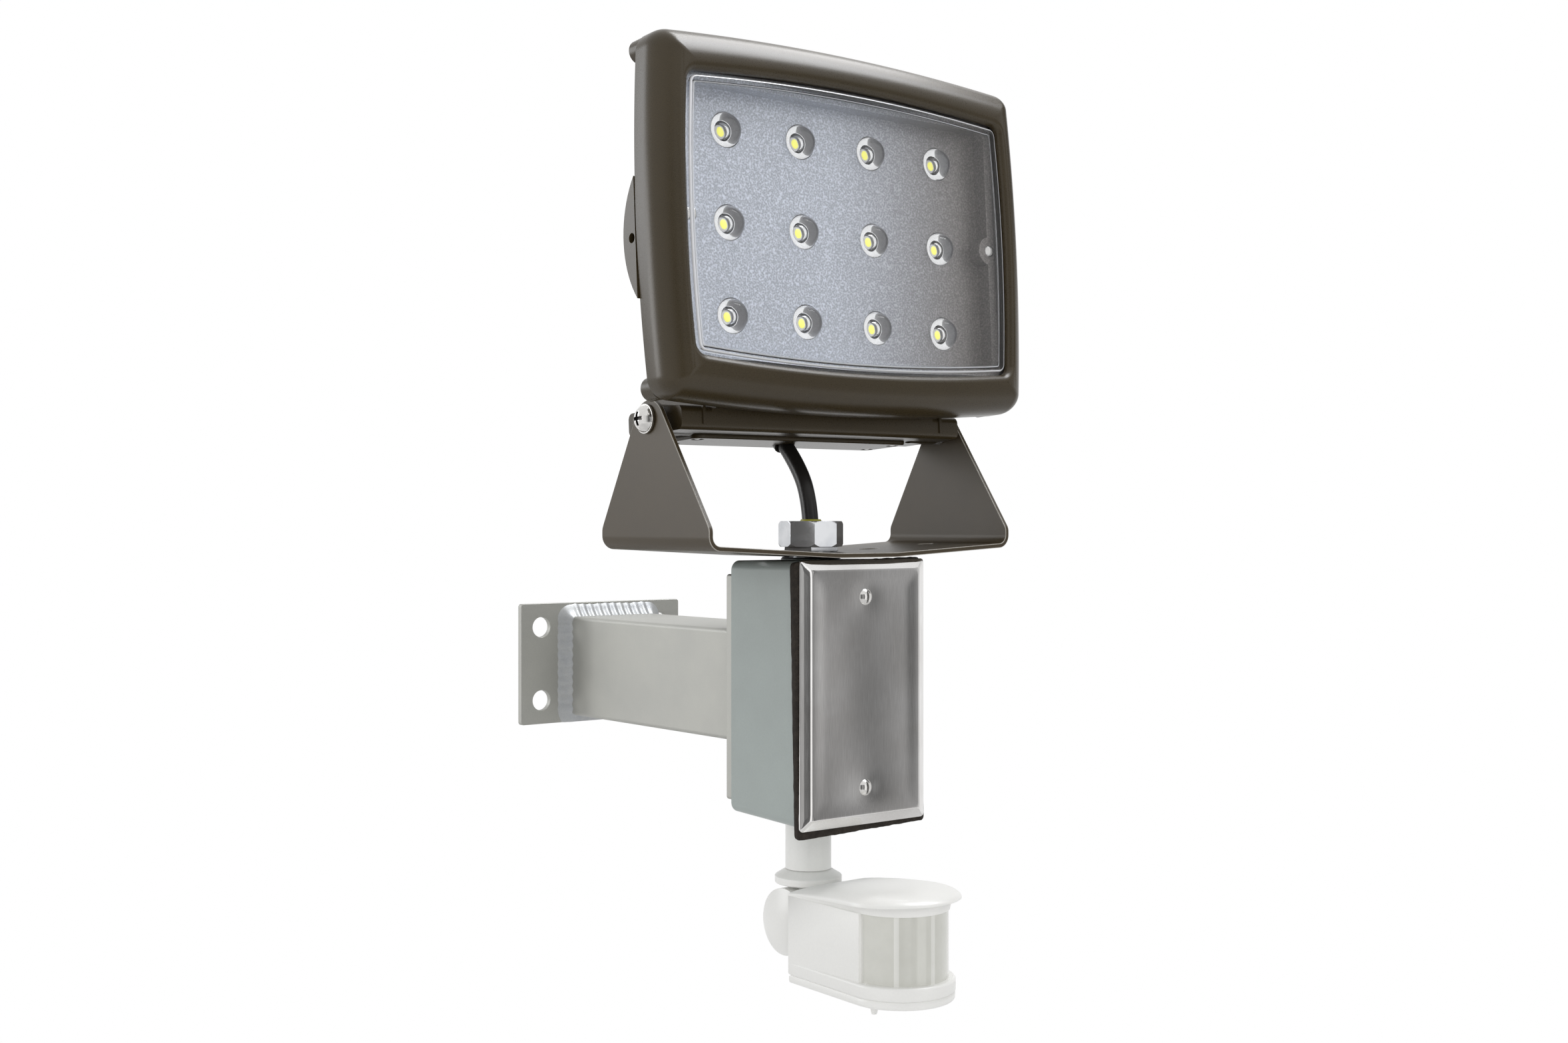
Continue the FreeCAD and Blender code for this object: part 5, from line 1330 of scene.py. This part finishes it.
@dataclass
class RearHousing(SubAssembly):
    """Finned rear of the head with its wiring bay and pivots."""

    head_r: float = 5.9
    head_h: float = 3.9
    seat_x: float = 87.5
    flush: float = 0.5
    sunk: float = 0.25

    def build(self) -> None:
        """Make and dress every piece."""
        self.work.soften_all((("rear_housing", BRONZE, 0.5), ("led_driver", POTTED, 0.3),
                              ("wiring_cover", BRONZE, 0.3), ("wiring_cover_screws", BRIGHT, 0.2),
                              ("cord_bushing", RUBBER, 0.4)))
        # The cross recesses get painted shade.
        self.work.soften("pivot_screws", BRIGHT, 0.15, edge=PAINTED_RECESS_SHADE, change=self.mark_crosses)
        self.work.soften_all((("pivot_washers", BRIGHT, 0.2), ("pivot_spacers", ZINC, 0.2)))

    def mark_crosses(self, solid: bmesh.types.BMesh) -> None:
        """Give the walls and floor of each cross recess a near-black finish, painted shade.

        Args:
            solid: Mesh of the pivot screws.
        """
        pivot = self.work.head @ Vector((0, self.work.led_ahead, -self.work.led_above))
        dome_r = (self.head_r ** 2 + self.head_h ** 2) / (2 * self.head_h)
        middle = self.seat_x + self.head_h - dome_r
        for face in solid.faces:
            place = (face.calc_center_median() - pivot) / MM
            deep = dome_r - math.hypot(abs(place.x) - middle, place.y, place.z)
            face.material_index = int(abs(place.x) > self.seat_x + self.flush and deep > self.sunk)


@dataclass
class MotionSensor(SubAssembly):
    """Stem, knuckle and head of the motion sensor."""

    arc_y: float = -230.0
    lens_r: float = 21.2
    wall: float = 1.2
    rib: float = 0.03
    inner_rib: float = 0.10
    top: float = -90.0
    bottom: float = -119.0
    segments: int = 4
    band: float = 2.9
    band_edge: float = 0.05
    lens_rows: int = 12
    lens_steps: int = 16
    stem_foot: float = -82.4
    seam: float = -124.9
    seam_near: float = 0.05
    wall_near: float = 0.5
    groove: float = 0.7
    ring_r: float = 24.1
    half_w: float = 22.8
    rear_y: float = -182.6
    rim_r: float = 26.7
    rim_under: float = -85.2
    edge_r: float = 2.4
    fullness: float = 2.2
    rear_top: float = -87.2
    front_top: float = -82.6
    dome: float = 3.6
    dome_back: float = 6.0
    dome_reach: float = 46.0
    crown_power: float = 0.8
    gap: float = 0.6
    arc_steps: int = 48
    side_steps: int = 24
    back_steps: int = 16
    dome_steps: int = 24
    cove_steps: int = 8

    def build(self) -> None:
        """Make and dress every piece."""
        soften = self.work.soften
        soften("sensor_stem", WHITE, 0.3, segments=3, crisp=lambda p: p.z < self.stem_foot + 1)
        soften("sensor_knuckle", WHITE, 0.5, segments=3, crisp=lambda p: p.z > self.stem_foot - 1)
        soften("sensor_case", WHITE, 0.5, segments=3, angle=12, change=self.seam_groove,
               crisp=self.on_side_seam)
        soften("sensor_base", WHITE, 0.4, segments=3, change=self.seam_groove)
        self.cap()
        self.work.soften_all((("tilt_screw", BRIGHT, 0.2), ("base_screws", BRIGHT, 0.2),
                              ("sensor_board", BOARD_GREEN, 0.1), ("detector_board", BOARD_GREEN, 0.1),
                              ("detector_can", CAN, 0.3), ("potentiometers", POTTED, 0.3),
                              ("time_dial", WHITE, 0.3), ("light_dial", WHITE, 0.3)))
        self.lens()

    def seam_groove(self, solid: bmesh.types.BMesh) -> None:
        """Slope both sides of the seam between the case and its base inwards.

        Args:
            solid: Mesh of the case or the base.
        """
        to_arm = self.work.arm.inverted()
        normal = (self.work.arm.to_3x3() @ Vector((0, 0, 1))).normalized()
        for lift in (-self.groove, self.groove):
            every = [*solid.verts, *solid.edges, *solid.faces]
            cut = self.work.arm @ Vector((0, 0, self.seam + lift))
            bmesh.ops.bisect_plane(solid, geom=every, plane_co=cut, plane_no=normal, dist=1e-7)
        for vert in solid.verts:
            place = to_arm @ vert.co
            if abs(place.z - self.seam) > self.seam_near:
                continue
            share = min(1.0, max(0.0, (self.rear_y - place.y) / (self.rear_y - self.arc_y)))
            side = self.half_w + (self.ring_r - self.half_w) * share
            around = Vector((place.x, place.y - self.arc_y, 0.0))
            if place.y < self.arc_y and around.length > self.ring_r - self.wall_near:
                place -= around.normalized() * self.groove
            elif place.y >= self.arc_y and abs(place.x) > side - self.wall_near:
                place.x -= math.copysign(self.groove, place.x)
            if place.y > self.rear_y - self.wall_near:
                place.y -= self.groove
            vert.co = self.work.arm @ place

    def on_side_seam(self, place: Vector) -> bool:
        """Whether a point lies where the case's flat sides run into the cap."""
        on_wall = abs(place.x) > self.half_w - 0.3 or place.y > self.rear_y - 1
        return abs(place.z - self.top) < 0.3 and on_wall

    def plan(self, radius: float, inset: float, z: Callable[[float, float], float]) -> list[Point]:
        """Ring round the sensor's plan: square behind and round in front.

        Args:
            radius: Radius of the round front.
            inset: How far inside that outline the ring lies.
            z: Height of the ring at each place.

        Returns:
            The ring's points.
        """
        half, rear = self.half_w - inset, self.rear_y - inset
        r, sides, backs = radius - inset, self.side_steps, self.back_steps
        front = [polar((0.0, self.arc_y), r, math.pi + math.pi * i / self.arc_steps)
                 for i in range(self.arc_steps + 1)]
        right = [(r + (half - r) * i / sides, self.arc_y + (rear - self.arc_y) * i / sides)
                 for i in range(1, sides + 1)]
        back = [(half - 2 * half * i / backs, rear) for i in range(1, backs + 1)]
        left = [(-half + (half - r) * i / sides, rear + (self.arc_y - rear) * i / sides)
                for i in range(1, sides)]
        return [(x, y, z(x, y)) for x, y in front + right + back + left]

    def crown_z(self, y: float) -> float:
        """Height of the cap's upper edge, which rises towards the front."""
        share = (self.rear_y - y) / (self.rear_y - self.arc_y + self.rim_r)
        return self.rear_top + (self.front_top - self.rear_top) * share ** self.crown_power

    def dome_z(self, y: float, rise: float) -> float:
        """Height of the dome, which falls to both ends.

        Args:
            y: Place from front to back.
            rise: From the rim (0) to the spine (1).

        Returns:
            The height.
        """
        middle = (self.rear_y + self.arc_y - self.rim_r) / 2 - self.dome_back
        along = min(1.0, abs(y - middle) / self.dome_reach)
        low = self.crown_z(y) - self.edge_r
        high = self.crown_z(y) + self.dome * (1 - along ** 2)
        return low + (high - low) * rise

    def cap(self) -> None:
        """Make the cap, with a hollow curve under its rim, a soft edge and a smooth low dome."""
        shape = Shape()
        neck = self.lens_r + self.gap
        rings: list[Ring] = []
        for i in range(self.cove_steps + 1):
            share = i / self.cove_steps
            grown = neck + (self.rim_r - neck) * (1 - math.cos(QUARTER * share))
            level = self.top + (self.rim_under - self.top) * math.sin(QUARTER * share)
            rings.append(shape.ring(self.plan(grown, 0.0, lambda x, y, v=level: min(v, self.dome_z(y, 0.0)))))
        reach = self.half_w - self.gap
        for i in range(1, self.dome_steps + 1):
            inset = reach * (1 - math.cos(QUARTER * i / self.dome_steps))
            rise = (1 - (1 - inset / reach) ** self.fullness) ** (1 / self.fullness)
            rings.append(shape.ring(self.plan(self.rim_r, inset, lambda x, y, v=rise: self.dome_z(y, v))))
        shape.skin(rings)
        self.close_spine(shape, rings[-1])
        shape.cap(rings[0], (0.0, self.arc_y + 8.0, self.top))
        self.work.build("domed_cap", shape, self.work.arm, [WHITE], "sensor_cap", 50)

    def close_spine(self, shape: Shape, spine: Ring) -> None:
        """Close the narrow slit that the dome's last ring leaves along its middle.

        Args:
            shape: The cap.
            spine: Its last ring.
        """
        arc, sides, tip = self.arc_steps, self.side_steps, self.arc_steps // 2
        for i in range(tip - 1):
            shape.face((spine[i], spine[i + 1], spine[arc - 1 - i], spine[arc - i]))
        shape.face((spine[tip - 1], spine[tip], spine[tip + 1]))
        for i in range(sides):
            shape.face((spine[-i], spine[-1 - i], spine[arc + 1 + i], spine[arc + i]))
        shape.face(spine[arc + sides:arc + sides + self.back_steps + 1])

    def lens(self) -> None:
        """Make the half-round lens of four upright segments, with light bands between and fine ribs inside."""
        shape = Shape()
        span, fine = 180.0 / self.segments, self.lens_steps
        turns: list[tuple[float, int]] = []
        for k in range(self.segments):
            start, end = 180 + span * k + self.band, 180 + span * (k + 1) - self.band
            turns += [(180 + span * k, 1), (start - self.band_edge, 1)]
            turns += [(start + (end - start) * i / fine, 0) for i in range(fine + 1)]
            turns += [(end + self.band_edge, 1)]
        turns.append((360.0, 1))
        outer: list[Ring] = []
        inner: list[Ring] = []
        for k in range(self.lens_rows + 1):
            z = self.bottom + (self.top - self.bottom) * k / self.lens_rows
            front, rear = [], []
            for i, (turn, mark) in enumerate(turns):
                r = self.lens_r - self.band_edge * (mark == 0) - self.rib * (i % 2)
                near = self.lens_r - self.wall - self.inner_rib * (i % 2)
                front.append((*polar((0.0, self.arc_y), r, math.radians(turn)), z))
                rear.append((*polar((0.0, self.arc_y), near, math.radians(turn)), z))
            outer.append(shape.ring(front))
            inner.append(shape.ring(rear))
        for low, high in zip(outer, outer[1:]):
            for i in range(len(turns) - 1):
                shape.face((low[i], low[i + 1], high[i + 1], high[i]), max(turns[i][1], turns[i + 1][1]))
        shape.skin(inner, closed=False)
        for end in (0, -1):
            shape.skin([outer[end], inner[end]], closed=False)
        for end in (0, -1):
            shape.skin([[r[end] for r in outer], [r[end] for r in inner]], closed=False)
        self.work.build("banded_lens", shape, self.work.arm, [MILKY, MILKY_BAND], "fresnel_lens", 60)


@dataclass(frozen=True)
class Lamp:
    """Large soft square lamp."""

    name: str
    place: Point
    size: float
    power: float
    mirrored: bool = True


@dataclass(frozen=True)
class Card:
    """Flat glowing card that only reflections see."""

    name: str
    place: Point
    size: Flat
    aim: Point
    strength: float


LAMPS = (Lamp("overhead", (0.45, -0.15, 1.10), 0.60, 7.5), Lamp("side", (-1.25, 0.75, 0.25), 0.55, 5.0),
         Lamp("front", (-0.55, -1.7, 0.40), 1.2, 8.0, mirrored=False))
CARDS = (Card("sky_card", (0.40, -0.48, 1.02), (0.42, 0.60), (0.0, -0.2, 0.25), 12.0),
         Card("dark_corner", (1.02, -0.15, 0.92), (0.75, 1.30), (0.05, -0.2, 0.2), 0.12),
         Card("rear_card", (-0.78, 0.80, 0.55), (0.50, 0.55), (-0.1, -0.19, 0.4), 4.0))
SCREEN_GREYS = ((0.0, 0.90), (0.14, 0.11), (0.20, 0.13), (0.23, 0.43), (0.345, 0.52), (0.365, 0.13),
                (0.47, 0.19), (0.50, 1.26), (0.68, 1.21), (0.71, 0.15), (0.755, 0.58), (0.80, 0.17),
                (0.86, 0.42), (1.0, 0.90))


def facing(place: Point, aim: Point) -> Euler:
    """Turn of a lamp or card at a place that faces a point."""
    return (Vector(aim) - Vector(place)).to_track_quat("-Z", "Y").to_euler()


@dataclass
class Studio:
    """Camera, lamps, pale floor, white surroundings, and what is seen only in reflections; all in metres."""

    lens_mm: float = 2709.9 / 2357 * 36
    place: Point = (-0.5119, -0.8030, 0.0739)
    right: Point = (0.78398, -0.62078, -0.0003)
    backward: Point = (-0.6209, -0.7839, 0.0012)
    sky: float = 0.55
    floor_z: float = -0.60
    floor_r: float = 1.15
    floor_middle: Flat = (0.0, -0.1)
    floor_steps: int = 96
    floor_grey: float = 0.86
    floor_roughness: float = 0.9
    lamp_aim: Point = (0.0, -0.17, 0.05)
    screen_middle: Flat = (0.0, -0.17)
    screen_r: float = 1.7
    screen_z: Flat = (-0.75, 0.85)
    screen_x: Flat = (-1.5, 1.6)
    screen_half: float = 75.0
    screen_steps: int = 40
    card_tint: tuple[float, float, float, float] = (0.95, 0.97, 1.0, 1.0)

    def build(self) -> None:
        """Set up the whole studio."""
        bpy.context.scene.view_settings.view_transform = "Standard"
        self.camera()
        self.world()
        self.floor()
        for lamp in LAMPS:
            self.light(lamp)
        self.screen()
        for card in CARDS:
            self.glow(card)

    def camera(self) -> None:
        """Set the camera at the photograph's angle."""
        data = bpy.data.cameras.new("camera")
        data.lens = self.lens_mm
        data.sensor_width = 36
        data.sensor_fit = "HORIZONTAL"
        data.clip_start = 0.02
        data.clip_end = 30
        right, back = Vector(self.right).normalized(), Vector(self.backward).normalized()
        up = back.cross(right).normalized()
        place = Matrix((right, up, back)).transposed().to_4x4()
        place.translation = Vector(self.place)
        camera = put_in_scene("camera", data)
        camera.matrix_world = place
        bpy.context.scene.camera = camera

    def world(self) -> None:
        """Make the surroundings white to the camera and in reflections, and softer as light."""
        world = bpy.data.worlds.new("white_studio")
        bpy.context.scene.world = world
        world.use_nodes = True
        net = Net(world.node_tree, emptied=True)
        path = net.add("ShaderNodeLightPath")
        seen = path.outputs["Is Camera Ray"]
        for kind in ("Is Glossy Ray", "Is Transmission Ray"):
            seen = net.add("ShaderNodeMath", {0: seen, 1: path.outputs[kind]}, operation="MAXIMUM").outputs[0]
        light = net.add("ShaderNodeBackground", {"Color": WHITE_LIGHT, "Strength": self.sky})
        white = net.add("ShaderNodeBackground", {"Color": WHITE_LIGHT})
        mix = net.add("ShaderNodeMixShader", {"Fac": seen, 1: light.outputs[0], 2: white.outputs[0]})
        net.add("ShaderNodeOutputWorld", {"Surface": mix.outputs[0]})

    def floor(self) -> None:
        """Make the pale round floor, which shows the lamps' soft shadows."""
        mesh = bpy.data.meshes.new("floor")
        steps = self.floor_steps
        rim = [(*polar(self.floor_middle, self.floor_r, TURN * i / steps), self.floor_z) for i in range(steps)]
        mesh.from_pydata(rim, [], [tuple(range(steps))])
        put_in_scene("floor", mesh)
        material = bpy.data.materials.new("pale_floor")
        material.use_nodes = True
        net = Net(material.node_tree)
        net.feed(net.tree.nodes["Principled BSDF"], {"Base Color": (*[self.floor_grey] * 3, 1),
                                                     "Roughness": self.floor_roughness})
        mesh.materials.append(material)

    def light(self, lamp: Lamp) -> None:
        """Hang one lamp.

        Args:
            lamp: Lamp to hang.
        """
        data = bpy.data.lights.new(lamp.name, "AREA")
        data.shape = "SQUARE"
        data.size = lamp.size
        data.energy = lamp.power
        light = put_in_scene(lamp.name, data)
        light.location = lamp.place
        light.rotation_euler = facing(lamp.place, self.lamp_aim)
        light.visible_glossy = lamp.mirrored
        light.visible_transmission = lamp.mirrored

    def hang(self, name: str, mesh: bpy.types.Mesh, look: Callable[[Net], Feeds]) -> bpy.types.Object:
        """Put up a glowing mesh that only reflections see.

        Args:
            name: Its name.
            mesh: Its mesh.
            look: Adds any nodes that its glow needs, and gives what feeds it.

        Returns:
            The object.
        """
        material = bpy.data.materials.new(name)
        material.use_nodes = True
        net = Net(material.node_tree, emptied=True)
        shine = net.add("ShaderNodeEmission", look(net))
        net.add("ShaderNodeOutputMaterial", {"Surface": shine.outputs[0]})
        mesh.materials.append(material)
        card = put_in_scene(name, mesh)
        for ray in ("camera", "diffuse", "shadow", "transmission"):
            setattr(card, "visible_" + ray, False)
        return card

    def grey_steps(self, net: Net) -> Feeds:
        """Greys that change softly from the left of the screen to its right.

        Args:
            net: Nodes of the screen's material.

        Returns:
            What its glow is fed.
        """
        place = net.add("ShaderNodeTexCoord").outputs["Object"]
        split = net.add("ShaderNodeSeparateXYZ", {0: place})
        low, high = self.screen_x
        across = net.add("ShaderNodeMapRange", {"From Min": low, "From Max": high, "Value": split.outputs["X"]})
        ramp = net.add("ShaderNodeValToRGB", {"Fac": across.outputs["Result"]})
        for i, (where, grey) in enumerate(SCREEN_GREYS):
            stop = ramp.color_ramp.elements[i] if i < 2 else ramp.color_ramp.elements.new(where)
            stop.position = where
            stop.color = (grey, grey, grey, 1)
        return {"Color": ramp.outputs["Color"]}

    def screen(self) -> None:
        """Put up the curved grey screen on the camera's side."""
        mesh = bpy.data.meshes.new("dark_screen")
        steps = self.screen_steps
        points = []
        for i in range(steps + 1):
            angle = math.radians(-self.screen_half + 2 * self.screen_half * i / steps)
            x, y = self.screen_r * math.sin(angle), self.screen_middle[1] - self.screen_r * math.cos(angle)
            points += [(self.screen_middle[0] + x, y, z) for z in self.screen_z]
        mesh.from_pydata(points, [], [(2 * i, 2 * i + 2, 2 * i + 3, 2 * i + 1) for i in range(steps)])
        self.hang("dark_screen", mesh, self.grey_steps)

    def glow(self, card: Card) -> None:
        """Put up one flat card.

        Args:
            card: Card to put up.
        """
        half_w, half_h = card.size[0] / 2, card.size[1] / 2
        mesh = bpy.data.meshes.new(card.name)
        corners = [(-half_w, -half_h, 0), (half_w, -half_h, 0), (half_w, half_h, 0), (-half_w, half_h, 0)]
        mesh.from_pydata(corners, [], [(0, 1, 2, 3)])
        piece = self.hang(card.name, mesh, lambda net: {"Color": self.card_tint, "Strength": card.strength})
        piece.location = card.place
        piece.rotation_euler = facing(card.place, card.aim)


def main() -> None:
    """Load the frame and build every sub-assembly."""
    logging.basicConfig(level=logging.INFO, format="%(message)s")
    for old in list(bpy.data.objects):
        bpy.data.objects.remove(old)
    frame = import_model()
    work = Workshop(frame)
    for kind in (WallArm, OutletBox, CordConnector, Yoke, LampHead, RearHousing, MotionSensor):
        LOG.info("building %s", kind.__name__)
        kind(work).build()
    Studio().build()


if __name__ == "__main__":
    main()
